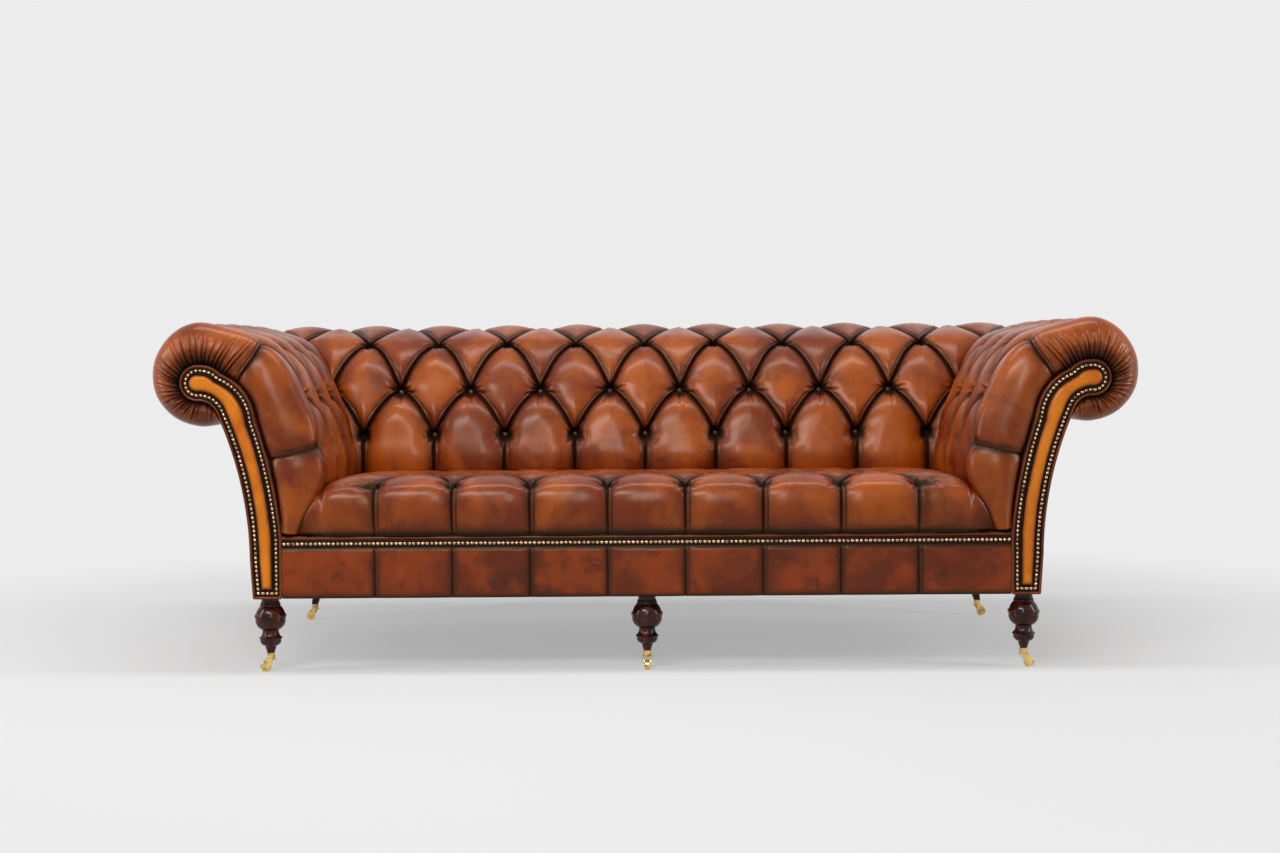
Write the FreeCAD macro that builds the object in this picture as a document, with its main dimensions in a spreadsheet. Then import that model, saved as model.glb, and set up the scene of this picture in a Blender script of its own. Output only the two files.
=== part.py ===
import FreeCAD, Part
import Sketcher
import math
import os
from FreeCAD import Rotation, Vector
from types import SimpleNamespace

# Chesterfield sofa with a sprung, deep-buttoned seat, back and arms.
# Millimetres. X runs to the right as seen from the front, Y to the back, Z up.
# The origin is on the floor, at the middle of the sofa's width and depth.
# Left and right in the names are as seen from the front too.

os.makedirs("parts", exist_ok=True)
doc = FreeCAD.newDocument("chesterfield_sofa")

# Driving sizes
SIZES = {
    "sofa_width": 2366,
    "sofa_depth": 1000,
    "sofa_height": 844,
    "base_bottom": 181,
    "seat_line": 445,
    # padded roll along the top of the arms and back
    "roll_radius": 125,
    "roll_fullness": 2,
    "roll_tuck": 10,
    "arm_lean": 285,
    "pad_tuck": 58,
    "pad_bottom": 335,
    "upper_row_reach": 40,
    "middle_row_fall": 6,
    "tuft_depth": 42,
    "pleat_depth": 8,
    "soft_gap": 0.3,
    "arm_pitch": 165,
    "arm_first_column": 62,
    "back_pitch": 190,
    "pad_front_bulge": 16,
    # seat
    "seat_pitch": 186,
    "seat_row_pitch": 140,
    "seat_crown": 468,
    "seat_bottom": 330,
    "seat_tuft_depth": 36,
    "seat_lip": 14,
    "seat_side_gap": 4,
    # covered buttons
    "button_radius": 10.5,
    "button_thickness": 4,
    "button_dome": 4,
    "button_well": 0.9,
    "button_sink": 6,
    # facing panels at the arm fronts
    "facing_back": 28,
    "facing_plate": 10,
    "facing_pad": 10,
    "facing_band": 16,
    "facing_pad_round": 5,
    "facing_reach": 100,
    "facing_width": 70,
    "facing_head_radius": 43.5,
    "facing_head_shift": 10,
    "facing_head_drop": 20,
    "piping_width": 6,
    "piping_proud": 4,
    "border_height": 141,
    "border_thickness": 12,
    "border_piping_radius": 4,
    "nail_radius": 4.6,
    "nail_dome": 3.4,
    "nail_pitch": 10.7,
    "border_nail_drop": 9,
    "panel_thickness": 3.8,
    "back_panel_inset": 70,
    "outside_tuck": 12,
    # timber frame
    "board_thickness": 28,
    "rail_lift": 9,
    "front_rail_height": 140,
    "front_rail_thickness": 32,
    "side_rail_height": 110,
    "side_rail_thickness": 42,
    "back_rail_thickness": 34,
    "top_rail_width": 58,
    "top_rail_height": 100,
    "top_rail_offset": 18,
    "top_rail_rise": 21,
    "tack_rail_thickness": 29,
    "tack_rail_height": 50,
    "tack_rail_offset": 150,
    "upright_width": 40,
    "upright_spacing": 500,
    "upright_drop": 69,
    "cross_rail_width": 32,
    "cross_rail_height": 60,
    "corner_block_side": 90,
    "corner_block_height": 60,
    # springing
    "strap_width": 50,
    "strap_thickness": 1.8,
    "strap_pitch": 140,
    "arm_strap_pitch": 150,
    "back_strap_pitch": 180,
    "spring_radius": 44,
    "spring_waist": 30,
    "spring_wall": 4,
    "spring_row_pitch": 140,
    "canvas_thickness": 2,
    "cloth_thickness": 1.2,
    # turned front legs
    "leg_inset_x": 273,
    "leg_inset_y": 60,
    "leg_neck_radius": 21,
    "leg_neck_length": 20,
    "leg_bead_radius": 24,
    "leg_bead_length": 5,
    "leg_bulb_radius": 37.8,
    "leg_bulb_length": 58,
    "leg_bulb_groove": 2,
    "leg_waist_radius": 20,
    "leg_reel_length": 19,
    "leg_ring_radius": 28,
    "leg_ring_length": 3.5,
    "leg_cup_radius": 25,
    "leg_cup_length": 16,
    "leg_shaft_radius": 14,
    "leg_tip_radius": 8.6,
    # raked rear legs
    "rear_leg_inset_x": 275,
    "rear_leg_inset_y": 103,
    "rear_leg_splay": 46,
    "rear_leg_rake": 56,
    "rear_leg_top_side": 50,
    "rear_leg_tip_side": 17,
    # castors
    "castor_height": 46,
    "socket_radius": 9.6,
    "socket_height": 12,
    "pin_radius": 3,
    "pin_clearance": 0.05,
    "pin_length": 9,
    "plate_radius": 11,
    "plate_thickness": 4,
    "plate_gap": 0.4,
    "wheel_radius": 12.5,
    "wheel_width": 11,
    "wheel_shoulder": 3,
    "wheel_side_gap": 0.5,
    "fork_thickness": 2.4,
    "fork_width": 9,
    "castor_trail": 13,
    "axle_radius": 2,
    "axle_clearance": 0.05,
    "rivet_radius": 3.4,
    "rivet_thickness": 1,
}

sheet = doc.addObject("Spreadsheet::Sheet", "sizes")
for row, (alias, number) in enumerate(SIZES.items(), start=1):
    sheet.set(f"A{row}", alias)
    sheet.set(f"B{row}", str(number))
    sheet.setAlias(f"B{row}", alias)
doc.recompute()
size = SimpleNamespace(**{alias: float(sheet.get(alias)) for alias in SIZES})

# Places that several pieces share, worked out from the driving sizes
half_width = size.sofa_width / 2
half_depth = size.sofa_depth / 2
roll_x = half_width - size.roll_radius
roll_y = half_depth - size.roll_radius
roll_z = size.sofa_height - size.roll_radius
rise = roll_z - size.seat_line
front_y = -half_depth
board_front = front_y + size.facing_back
board_rear = board_front + size.board_thickness
facing_inner = roll_x - size.arm_lean + size.facing_reach
facing_outer = facing_inner + size.facing_width
rail_bottom = size.base_bottom + size.rail_lift
panel_inner = facing_outer - size.panel_thickness
back_face = half_depth - size.back_panel_inset
back_rail_rear = back_face - size.panel_thickness
top_rail_bottom = roll_z - size.top_rail_height + size.top_rail_rise
top_rail_top = top_rail_bottom + size.top_rail_height
rail_outer = roll_x - size.top_rail_offset
rail_inner = rail_outer - size.top_rail_width
rail_rear = roll_y - size.top_rail_offset
rail_front = rail_rear - size.top_rail_width
upright_top = roll_z - size.upright_drop
tack_inner = roll_x - size.tack_rail_offset
tack_front = roll_y - size.tack_rail_offset
tack_top = size.pad_bottom + size.tack_rail_height

# The same places as expressions, for the objects that are bound to the sheet
BOARD_REAR = "(facing_back + board_thickness - sofa_depth / 2)"
RAIL_BOTTOM = "(base_bottom + rail_lift)"
FACING_INNER = "(sofa_width / 2 - roll_radius - arm_lean + facing_reach)"
PANEL_INNER = f"({FACING_INNER} + facing_width - panel_thickness)"
BOARD_INNER = f"({FACING_INNER} + panel_thickness)"
BACK_RAIL_REAR = "(sofa_depth / 2 - back_panel_inset - panel_thickness)"
RAIL_OUTER = "(sofa_width / 2 - roll_radius - top_rail_offset)"
RAIL_REAR = "(sofa_depth / 2 - roll_radius - top_rail_offset)"
TOP_RAIL_BOTTOM = "(sofa_height - roll_radius - top_rail_height + top_rail_rise)"
TACK_INNER = "(sofa_width / 2 - roll_radius - tack_rail_offset)"
TACK_FRONT = "(sofa_depth / 2 - roll_radius - tack_rail_offset)"

sub_parts = []


def bound(text):
    """Turn plain size names in an expression into references to the sheet."""
    words = sorted(SIZES, key=len, reverse=True)
    for number, word in enumerate(words):
        text = text.replace(word, f"<{number}>")
    for number, word in enumerate(words):
        text = text.replace(f"<{number}>", f"sizes.{word}")
    return text


def keep(thing, label):
    """List an object as a sub-part under its own name."""
    thing.Label = label
    sub_parts.append(thing)
    return thing


def solid_feature(label, shape):
    """Hold a shape that was made from the sheet's sizes."""
    feature = doc.addObject("Part::Feature", label)
    feature.Shape = shape
    feature.Placement = FreeCAD.Placement()
    return keep(feature, label)


def box(name, corner, sides):
    """A timber or sheet with its corner and sides bound to the sheet."""
    thing = doc.addObject("Part::Box", name)
    for axis, text in zip("xyz", corner):
        thing.setExpression(f".Placement.Base.{axis}", bound(text))
    for side, text in zip(("Length", "Width", "Height"), sides):
        thing.setExpression(side, bound(text))
    return thing


def group(label, members):
    """Several alike solids that share one node."""
    thing = doc.addObject("Part::Compound", label)
    thing.Links = members
    return keep(thing, label)


def arc(start, middle, end):
    return Part.Arc(start, middle, end).toShape()


def line(start, end):
    return Part.LineSegment(start, end).toShape()


def bulged(start, end, bulge):
    """A line, or an arc whose middle stands off the line to its left by bulge."""
    if bulge == 0:
        return line(start, end)
    along = end - start
    left = Vector(-along.y, along.x, 0).normalize()
    return arc(start, (start + end) * 0.5 + left * bulge, end)


def plane_of(body, role):
    return next(part for part in body.Origin.OriginFeatures if part.Role == role)


def sketch_of(body, name, role, wires, lift=0):
    """A sketch on one of the body's own planes that holds the given flat wires."""
    sketch = body.newObject("Sketcher::SketchObject", name)
    sketch.AttachmentSupport = (plane_of(body, role), "")
    sketch.MapMode = "FlatFace"
    sketch.AttachmentOffset = FreeCAD.Placement(Vector(0, 0, lift), Rotation())
    for wire in wires:
        first = sketch.GeometryCount
        edges = wire.OrderedEdges
        for edge in edges:
            if isinstance(edge.Curve, Part.Line):
                a, b = edge.Vertexes[0].Point, edge.Vertexes[-1].Point
                sketch.addGeometry(Part.LineSegment(a, b))
            else:
                sketch.addGeometry(Part.ArcOfCircle(edge.Curve, *edge.ParameterRange))
        join_ends(sketch, first, len(edges))
    return sketch


def join_ends(sketch, first, count):
    """Tie the ends of the sketch's sides together, whichever way each one runs."""
    for step in range(count):
        one = first + step
        other = first + (step + 1) % count
        for end in (1, 2):
            for start in (1, 2):
                if sketch.getPoint(one, end).isEqual(sketch.getPoint(other, start), 1e-4):
                    sketch.addConstraint(Sketcher.Constraint("Coincident", one, end, other, start))


def pad(body, sketch, name, length):
    feature = body.newObject("PartDesign::Pad", name)
    feature.Profile = sketch
    feature.setExpression("Length", bound(length))
    return feature


def turned(label, corners, bulges=None):
    """A turned piece: a profile of radius and height bound to the sheet, spun about Z."""
    body = doc.addObject("PartDesign::Body", label)
    sketch = body.newObject("Sketcher::SketchObject", label + "_profile")
    sketch.AttachmentSupport = (plane_of(body, "XZ_Plane"), "")
    sketch.MapMode = "FlatFace"
    bulges = bulges or [0] * len(corners)
    values = [[float(sheet.evalExpression(text)) for text in pair] for pair in corners]
    points = [Vector(x, y, 0) for x, y in values]
    ends = points[1:] + points[:1]
    for start, end, bulge in zip(points, ends, bulges):
        edge = bulged(start, end, bulge)
        if bulge == 0:
            sketch.addGeometry(Part.LineSegment(start, end))
        else:
            sketch.addGeometry(Part.ArcOfCircle(edge.Curve, *edge.ParameterRange))
    join_ends(sketch, 0, len(points))
    for side, pair in enumerate(corners):
        corner = 1 if sketch.getPoint(side, 1).isEqual(points[side], 1e-6) else 2
        for kind, axis, text, number in zip(("DistanceX", "DistanceY"), (-2, -1), pair, values[side]):
            if number == 0:
                sketch.addConstraint(Sketcher.Constraint("PointOnObject", side, corner, axis))
                continue
            made = sketch.addConstraint(Sketcher.Constraint(kind, -1, 1, side, corner, number))
            sketch.setExpression(f"Constraints[{made}]", bound(text))
    spin = body.newObject("PartDesign::Revolution", label + "_turning")
    spin.Profile = sketch
    spin.ReferenceAxis = (sketch, ["V_Axis"])
    spin.Angle = 360
    return keep(body, label)


def place(thing, x, y, z=0, turn=0):
    thing.Placement = FreeCAD.Placement(Vector(x, y, z), Rotation(Vector(0, 0, 1), turn))


# Line of the padding: how far it stands in from the roll's centre, and its height

def on_roll(angle, radius):
    """A point about the roll's centre, as a reach outwards and a height."""
    turn = math.radians(angle)
    return Vector(radius * math.cos(turn), 0, roll_z + radius * math.sin(turn))


def leaning(reach, climb):
    """A point on the leaning front of the padding, as shares of its lean and rise."""
    return Vector(-size.arm_lean * reach, 0, size.seat_line + rise * climb)


ROW_0_ANGLE = 80
ROW_1_ANGLE = 151
BACK_OF_ROLL = 10
UNDER_ARM_ANGLE = -110.8

crest = [
    Vector(-size.arm_lean + size.pad_tuck, 0, size.pad_bottom),
    leaning(1.0, 0.0),
    leaning(0.98, 0.365),
    leaning(0.825, 0.81),
    on_roll(ROW_1_ANGLE, size.roll_radius + size.upper_row_reach),
    on_roll(ROW_0_ANGLE, size.roll_radius + size.roll_fullness),
]
crest_middle = [
    None,
    leaning(1.02, 0.18),
    leaning(0.925, 0.6),
    on_roll(169, size.roll_radius * 1.592),
    on_roll(117, size.roll_radius - size.roll_fullness),
]
inward = [
    Vector(0, 0, 0),
    Vector(0.33, 0, 0),
    Vector(1, 0, 0),
    Vector(0.98, 0, -size.middle_row_fall / size.tuft_depth),
    Vector(math.cos(math.radians(-29)), 0, math.sin(math.radians(-29))),
    Vector(-math.cos(math.radians(ROW_0_ANGLE)), 0, -math.sin(math.radians(ROW_0_ANGLE))),
]
ROW_OF_VERTEX = {2: 3, 3: 2, 4: 1, 5: 0}
MIDDLE_SHARE = 0.3


def padding_line(whole_column, shrink=0.0):
    """The showing line of the padding at one column of tufts.

    A whole column has its buttons in rows 1 and 3, a half column in rows 0 and 2.
    """
    button_rows = (1, 3) if whole_column else (0, 2)
    corners = []
    for number, point in enumerate(crest):
        row = ROW_OF_VERTEX.get(number)
        sunk = size.tuft_depth if row in button_rows else 0
        if number == 1 and whole_column:
            sunk = size.tuft_depth
        corners.append(point + inward[number] * max(sunk, shrink))
    edges = [line(corners[0], corners[1])]
    for number in range(1, 5):
        slope = inward[number] + inward[number + 1]
        middle = crest_middle[number] + slope * (0.5 * max(size.tuft_depth * MIDDLE_SHARE, shrink))
        edges.append(arc(corners[number], middle, corners[number + 1]))
    return corners, edges


def roll_edges(start, angles, whole_column, shrink=0.0):
    """Arcs round the back of the roll, from the top row to its underside."""
    radius = size.roll_radius - shrink - (0 if whole_column else size.pleat_depth)
    edges = []
    here = start
    before = ROW_0_ANGLE
    for angle in angles[:-1]:
        there = on_roll(angle, radius)
        edges.append(arc(here, on_roll((before + angle) / 2, radius + 1), there))
        here = there
        before = angle
    end = on_roll(angles[-1], size.roll_radius)
    edges.append(arc(here, on_roll((before + angles[-1]) / 2, radius + 2), end))
    return edges


def section(inner_side, angles, whole_column, shrink=0.0):
    """One closed section of the padding across an arm or the back."""
    corners, edges = padding_line(whole_column, shrink)
    edges += roll_edges(corners[-1], angles, whole_column, shrink)
    ring = [on_roll(angles[-1], size.roll_radius)] + inner_side + [corners[0]]
    edges += [line(a, b) for a, b in zip(ring, ring[1:])]
    return Part.Wire(edges)


def arm_point(point, y):
    return Vector(roll_x + point.x, y, point.z)


def moved_section(wire, y):
    """Stand an arm section at its place along the arm."""
    moved = wire.copy()
    moved.translate(Vector(roll_x, y, 0))
    return moved


def turned_section(wire, x):
    """Turn a section to cross the back, with outwards pointing to the rear."""
    moved = wire.copy()
    moved.rotate(Vector(0, 0, 0), Vector(0, 0, 1), 90)
    moved.translate(Vector(x, roll_y, 0))
    return moved


webbing_face = -size.top_rail_offset - size.top_rail_width - size.strap_thickness
tack_face = -size.tack_rail_offset - size.strap_thickness


def inner_side(end):
    """The hidden side of the padding: under the roll, round the top rail, down the webbing."""
    return end + [
        Vector(-size.top_rail_offset, 0, end[-1].z),
        Vector(-size.top_rail_offset, 0, top_rail_top),
        Vector(webbing_face, 0, top_rail_top),
        Vector(webbing_face, 0, top_rail_bottom),
        Vector(tack_face, 0, tack_top),
        Vector(tack_face, 0, size.pad_bottom),
    ]


# Outline of the arm facings, a scroll that leans out from the base to a round head

head_x = roll_x + size.facing_head_shift
head_z = roll_z - size.facing_head_drop
facing_rise = head_z - size.base_bottom
HEAD_START = 97
HEAD_END = -98


def facing_point(reach, climb):
    """A point of the facing, in shares of its width past the base's outer corner and of its rise."""
    return Vector(facing_outer + size.facing_width * reach, size.base_bottom + facing_rise * climb, 0)


def head_point(angle):
    turn = math.radians(angle)
    radius = size.facing_head_radius
    return Vector(head_x + radius * math.cos(turn), head_z + radius * math.sin(turn), 0)


def facing_wire():
    """Outline of the right arm's facing in X and Z, laid flat.

    Each side is given by its starting point and by how far it bulges off a straight line,
    as a share of the facing's width.
    """
    head_start, head_middle, head_end = (head_point(angle) for angle in (HEAD_START, 0, HEAD_END))
    inner_low = facing_point(-1, 0)
    up = [(inner_low, 0), (facing_point(-1, 0.285), 0.129), (facing_point(-0.171, 0.823), 0.286),
          (facing_point(1, 1.043), 0.086), (head_start, 0)]
    down = [(head_end, -0.114), (facing_point(1.129, 0.853), -0.257), (facing_point(0.086, 0.185), 0),
            (facing_point(0, 0), 0), (inner_low, 0)]
    edges = []
    for side in (up, down):
        for (start, share), (end, _) in zip(side, side[1:]):
            edges.append(bulged(start, end, share * size.facing_width))
        if side is up:
            edges.append(arc(head_start, head_middle, head_end))
    return Part.Wire(edges)


def inset(wire, distance):
    return wire.makeOffset2D(-distance)


def mirrored_wire(wire):
    return wire.mirror(Vector(0, 0, 0), Vector(1, 0, 0))


def standing(wire, y):
    """Stand a flat outline upright, facing front, at a place in depth."""
    upright = wire.copy()
    upright.rotate(Vector(0, 0, 0), Vector(1, 0, 0), 90)
    upright.translate(Vector(0, y, 0))
    return upright


def prism(wire, front, rear):
    """A solid with an upright outline between two places in depth."""
    return Part.Face(standing(wire, front)).extrude(Vector(0, rear - front, 0))


outline = facing_wire()
board_outline = inset(outline, size.panel_thickness)
plate_outline = inset(outline, size.piping_width)
pad_outline = inset(outline, size.facing_band + size.piping_width)
nail_line = inset(outline, size.piping_width + size.facing_band / 2)


# Timber frame

def front_rail():
    rail = box("front_seat_rail",
               (f"-{BOARD_INNER}", "facing_back - sofa_depth / 2", RAIL_BOTTOM),
               (f"2 * {BOARD_INNER}", "front_rail_thickness", "front_rail_height"))
    keep(rail, "front_seat_rail")


def back_rail():
    rail = box("back_seat_rail",
               (f"-{PANEL_INNER}", f"{BACK_RAIL_REAR} - back_rail_thickness", RAIL_BOTTOM),
               (f"2 * {PANEL_INNER}", "back_rail_thickness", "side_rail_height"))
    keep(rail, "back_seat_rail")


def side_rails():
    length = f"{BACK_RAIL_REAR} - back_rail_thickness - {BOARD_REAR}"
    for side, place_x in (("left", f"-{PANEL_INNER}"), ("right", f"{PANEL_INNER} - side_rail_thickness")):
        rail = box(side + "_seat_rail", (place_x, BOARD_REAR, RAIL_BOTTOM),
                   ("side_rail_thickness", length, "side_rail_height"))
        keep(rail, side + "_seat_rail")


def arm_top_rails():
    for side, place_x in (("left", f"-{RAIL_OUTER}"), ("right", f"{RAIL_OUTER} - top_rail_width")):
        rail = box(side + "_arm_top_rail", (place_x, BOARD_REAR, TOP_RAIL_BOTTOM),
                   ("top_rail_width", f"{RAIL_REAR} - {BOARD_REAR}", "top_rail_height"))
        keep(rail, side + "_arm_top_rail")


def back_top_rail():
    inner = f"({RAIL_OUTER} - top_rail_width)"
    rail = box("back_top_rail", (f"-{inner}", f"{RAIL_REAR} - top_rail_width", TOP_RAIL_BOTTOM),
               (f"2 * {inner}", "top_rail_width", "top_rail_height"))
    keep(rail, "back_top_rail")


def arm_tack_rails():
    length = f"{RAIL_REAR} - top_rail_width - {BOARD_REAR}"
    rails = []
    for side, place_x in (("left", f"-{TACK_INNER} - tack_rail_thickness"), ("right", TACK_INNER)):
        rails.append(box(side + "_tack_rail", (place_x, BOARD_REAR, "pad_bottom"),
                         ("tack_rail_thickness", length, "tack_rail_height")))
    group("arm_tack_rails", rails)


def back_tack_rail():
    rail = box("back_tack_rail", (f"-{TACK_INNER}", TACK_FRONT, "pad_bottom"),
               (f"2 * {TACK_INNER}", "tack_rail_thickness", "tack_rail_height"))
    keep(rail, "back_tack_rail")


def cross_rails():
    length = f"{BACK_RAIL_REAR} - back_rail_thickness - (facing_back + front_rail_thickness - sofa_depth / 2)"
    rails = []
    for number, middle in enumerate(("-2 * strap_pitch", "2 * strap_pitch")):
        rails.append(box(f"cross_rail_{number}",
                         (f"{middle} - cross_rail_width / 2",
                          "facing_back + front_rail_thickness - sofa_depth / 2", RAIL_BOTTOM),
                         ("cross_rail_width", length, "cross_rail_height")))
    group("seat_cross_rails", rails)


def corner_blocks():
    """Triangular blocks glued into the four inner corners of the seat frame."""
    side = size.corner_block_side
    rail_face = panel_inner - size.side_rail_thickness
    places = []
    for sign in (-1, 1):
        places.append((sign, board_front + size.front_rail_thickness, 1))
        places.append((sign, back_rail_rear - size.back_rail_thickness, -1))
    blocks = []
    for sign, y, step in places:
        corner = Vector(sign * rail_face, y, rail_bottom)
        points = [corner, corner + Vector(-sign * side, 0, 0), corner + Vector(0, step * side, 0), corner]
        face = Part.Face(Part.makePolygon(points))
        blocks.append(face.extrude(Vector(0, 0, size.corner_block_height)))
    solid_feature("corner_blocks", Part.makeCompound(blocks))


def scroll_boards():
    """Front posts of the arms, cut to the facing's outline."""
    floor = Part.makeBox(4 * half_width, 4 * half_depth, rail_bottom,
                         Vector(-2 * half_width, -2 * half_depth, 0))
    for side, wire in (("left", mirrored_wire(board_outline)), ("right", board_outline)):
        board = prism(wire, board_front, board_rear).cut(floor)
        solid_feature(side + "_arm_scroll_board", board)


def rear_posts():
    """Boards at the back corners that lean out under the meeting top rails."""
    panel_lean = 27
    low = rail_bottom + size.side_rail_height
    corners = [(panel_inner, tack_top), (rail_outer - panel_lean, top_rail_bottom),
               (rail_inner, top_rail_bottom), (tack_inner, tack_top), (tack_inner, size.pad_bottom),
               (panel_inner - size.side_rail_thickness, low), (panel_inner, low)]
    posts = []
    for sign in (-1, 1):
        ring = [Vector(sign * x, rail_front, z) for x, z in corners]
        face = Part.Face(Part.makePolygon(ring + ring[:1]))
        posts.append(face.extrude(Vector(0, size.top_rail_width, 0)))
    solid_feature("rear_posts", Part.makeCompound(posts))


def back_uprights():
    """Boards that carry the back's top rail, tack rail and padding."""
    low = rail_bottom + size.side_rail_height
    front = back_rail_rear - size.back_rail_thickness
    ring = [(front, low), (back_rail_rear, low), (back_rail_rear, upright_top),
            (rail_rear, upright_top), (rail_rear, top_rail_bottom), (rail_front, top_rail_bottom),
            (tack_front + size.tack_rail_thickness, tack_top),
            (tack_front + size.tack_rail_thickness, size.pad_bottom)]
    boards = []
    for step in (-1, 0, 1):
        x = step * size.upright_spacing - size.upright_width / 2
        points = [Vector(x, y, z) for y, z in ring + ring[:1]]
        boards.append(Part.Face(Part.makePolygon(points)).extrude(Vector(size.upright_width, 0, 0)))
    solid_feature("back_uprights", Part.makeCompound(boards))


# Springing

def spread(low, high, margin, pitch):
    """Places at one pitch, centred between two ends, as many as fit with a margin at each end."""
    last = int((high - low - 2 * margin) // pitch)
    return [(low + high) / 2 + (step - last / 2) * pitch for step in range(last + 1)]


canvas_reach = roll_x - size.arm_lean + size.pad_tuck - size.seat_side_gap
canvas_front = board_front + size.front_rail_thickness
canvas_rear = roll_y - size.arm_lean + size.pad_tuck - size.seat_side_gap
spring_columns = spread(-canvas_reach, canvas_reach, size.spring_radius, size.strap_pitch)
spring_rows = spread(canvas_front, canvas_rear, size.spring_radius, size.spring_row_pitch)


def seat_webbing():
    """Straps tacked under the seat rails, the long ones below the short ones."""
    top = rail_bottom
    straps = []
    depth = back_rail_rear - board_front
    for x in spring_columns:
        corner = Vector(x - size.strap_width / 2, board_front, top - size.strap_thickness)
        straps.append(Part.makeBox(size.strap_width, depth, size.strap_thickness, corner))
    for y in spring_rows:
        corner = Vector(-panel_inner, y - size.strap_width / 2, top - 2 * size.strap_thickness)
        straps.append(Part.makeBox(2 * panel_inner, size.strap_width, size.strap_thickness, corner))
    solid_feature("seat_webbing", Part.makeCompound(straps))


def seat_springs():
    """Waisted coil springs that stand on the crossings of the webbing, as plain waisted tubes."""
    low = rail_bottom
    high = size.seat_bottom - size.canvas_thickness
    middle = (low + high) / 2
    outer = [(size.spring_radius, low), (size.spring_waist, middle), (size.spring_radius, high)]
    ring = outer + [(r - size.spring_wall, z) for r, z in reversed(outer)]
    points = [Vector(r, 0, z) for r, z in ring + ring[:1]]
    spring = Part.Face(Part.makePolygon(points)).revolve(Vector(0, 0, 0), Vector(0, 0, 1), 360)
    springs = []
    for x in spring_columns:
        for y in spring_rows:
            one = spring.copy()
            one.translate(Vector(x, y, 0))
            springs.append(one)
    solid_feature("seat_springs", Part.makeCompound(springs))


def spring_canvas():
    corner = Vector(-canvas_reach, canvas_front, size.seat_bottom - size.canvas_thickness)
    canvas = Part.makeBox(2 * canvas_reach, canvas_rear - canvas_front, size.canvas_thickness, corner)
    solid_feature("spring_canvas", canvas)


def leaning_strap():
    """Side of a strap that runs from the tack rail up to the top rail."""
    grip = 30
    low = size.pad_bottom + 5
    inside = [(-size.tack_rail_offset, low), (-size.tack_rail_offset, tack_top),
              (-size.top_rail_offset - size.top_rail_width, top_rail_bottom),
              (-size.top_rail_offset - size.top_rail_width, top_rail_bottom + grip)]
    outside = [(x - size.strap_thickness, z) for x, z in reversed(inside)]
    return inside + outside


def arm_webbing():
    ring = leaning_strap()
    count = int((tack_front - board_rear) // size.arm_strap_pitch)
    straps = []
    for sign in (-1, 1):
        for step in range(count):
            y = board_rear + (step + 0.5) * size.arm_strap_pitch
            points = [Vector(sign * (roll_x + x), y, z) for x, z in ring + ring[:1]]
            face = Part.Face(Part.makePolygon(points))
            straps.append(face.extrude(Vector(0, size.strap_width, 0)))
    solid_feature("arm_webbing", Part.makeCompound(straps))


def back_webbing():
    ring = leaning_strap()
    straps = []
    for middle in spread(-tack_inner, tack_inner, size.strap_width, size.back_strap_pitch):
        x = middle - size.strap_width / 2
        points = [Vector(x, roll_y + y, z) for y, z in ring + ring[:1]]
        straps.append(Part.Face(Part.makePolygon(points)).extrude(Vector(size.strap_width, 0, 0)))
    solid_feature("back_webbing", Part.makeCompound(straps))


# Tufted padding and its covered buttons

def domed(radius, height, dome, point, direction):
    """A round head with a domed top, standing on its flat underside along a direction."""
    ball = (radius * radius + dome * dome) / (2 * dome)
    half_angle = 0.5 * math.asin(radius / ball)
    foot = Vector(0, 0, 0)
    rim_foot = Vector(radius, 0, 0)
    rim = Vector(radius, 0, height)
    top = Vector(0, 0, height + dome)
    middle = Vector(ball * math.sin(half_angle), 0, height + dome - ball + ball * math.cos(half_angle))
    edges = [line(foot, rim_foot)]
    if height:
        edges.append(line(rim_foot, rim))
    edges += [arc(rim, middle, top), line(top, foot)]
    head = Part.Face(Part.Wire(edges)).revolve(Vector(0, 0, 0), Vector(0, 0, 1), 360)
    head.Placement = FreeCAD.Placement(point, Rotation(Vector(0, 0, 1), direction))
    return head


def button_at(point, direction):
    return domed(size.button_radius, size.button_thickness, size.button_dome, point, direction)


def well_at(point, direction):
    """The pocket in the padding that a button is drawn into."""
    radius = size.button_radius + size.button_well
    return Part.makeCylinder(radius, 3 * size.tuft_depth, point, direction)


def tuft(point, inwards):
    """Button and well for one tuft, sunk a little below the valley of the leather."""
    seat = point + inwards * size.button_sink
    return button_at(seat, inwards * -1), well_at(seat, inwards * -1)


def row_tufts(whole_column):
    """The tufts of one column as points and directions about the roll's centre."""
    numbers = (2, 4) if whole_column else (3, 5)
    found = []
    for number in numbers:
        direction = Vector(inward[number])
        found.append((crest[number] + direction * size.tuft_depth, direction.normalize()))
    return found


def mitre_cutter(keep_arm):
    """A tall wedge over everything on the far side of the right back mitre."""
    far = 4 * half_width
    gap = size.soft_gap / math.sqrt(2)
    shift = gap if keep_arm else -gap
    corner = Vector(roll_x + shift, roll_y, 0)
    across = Vector(far, far, 0)
    side = Vector(-far, far, 0) if keep_arm else Vector(far, -far, 0)
    ring = [corner - across, corner + across, corner + across + side, corner - across + side]
    face = Part.Face(Part.makePolygon(ring + ring[:1]))
    return face.extrude(Vector(0, 0, 2 * size.sofa_height))


def arm_columns():
    """Depth of each tuft column along an arm, with whether it is a whole column."""
    first = board_front + size.arm_first_column
    last = half_depth + size.arm_pitch / 2
    columns = []
    step = 0
    while first + step * size.arm_pitch / 2 < last:
        columns.append((first + step * size.arm_pitch / 2, step % 2 == 0))
        step += 1
    return columns


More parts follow.
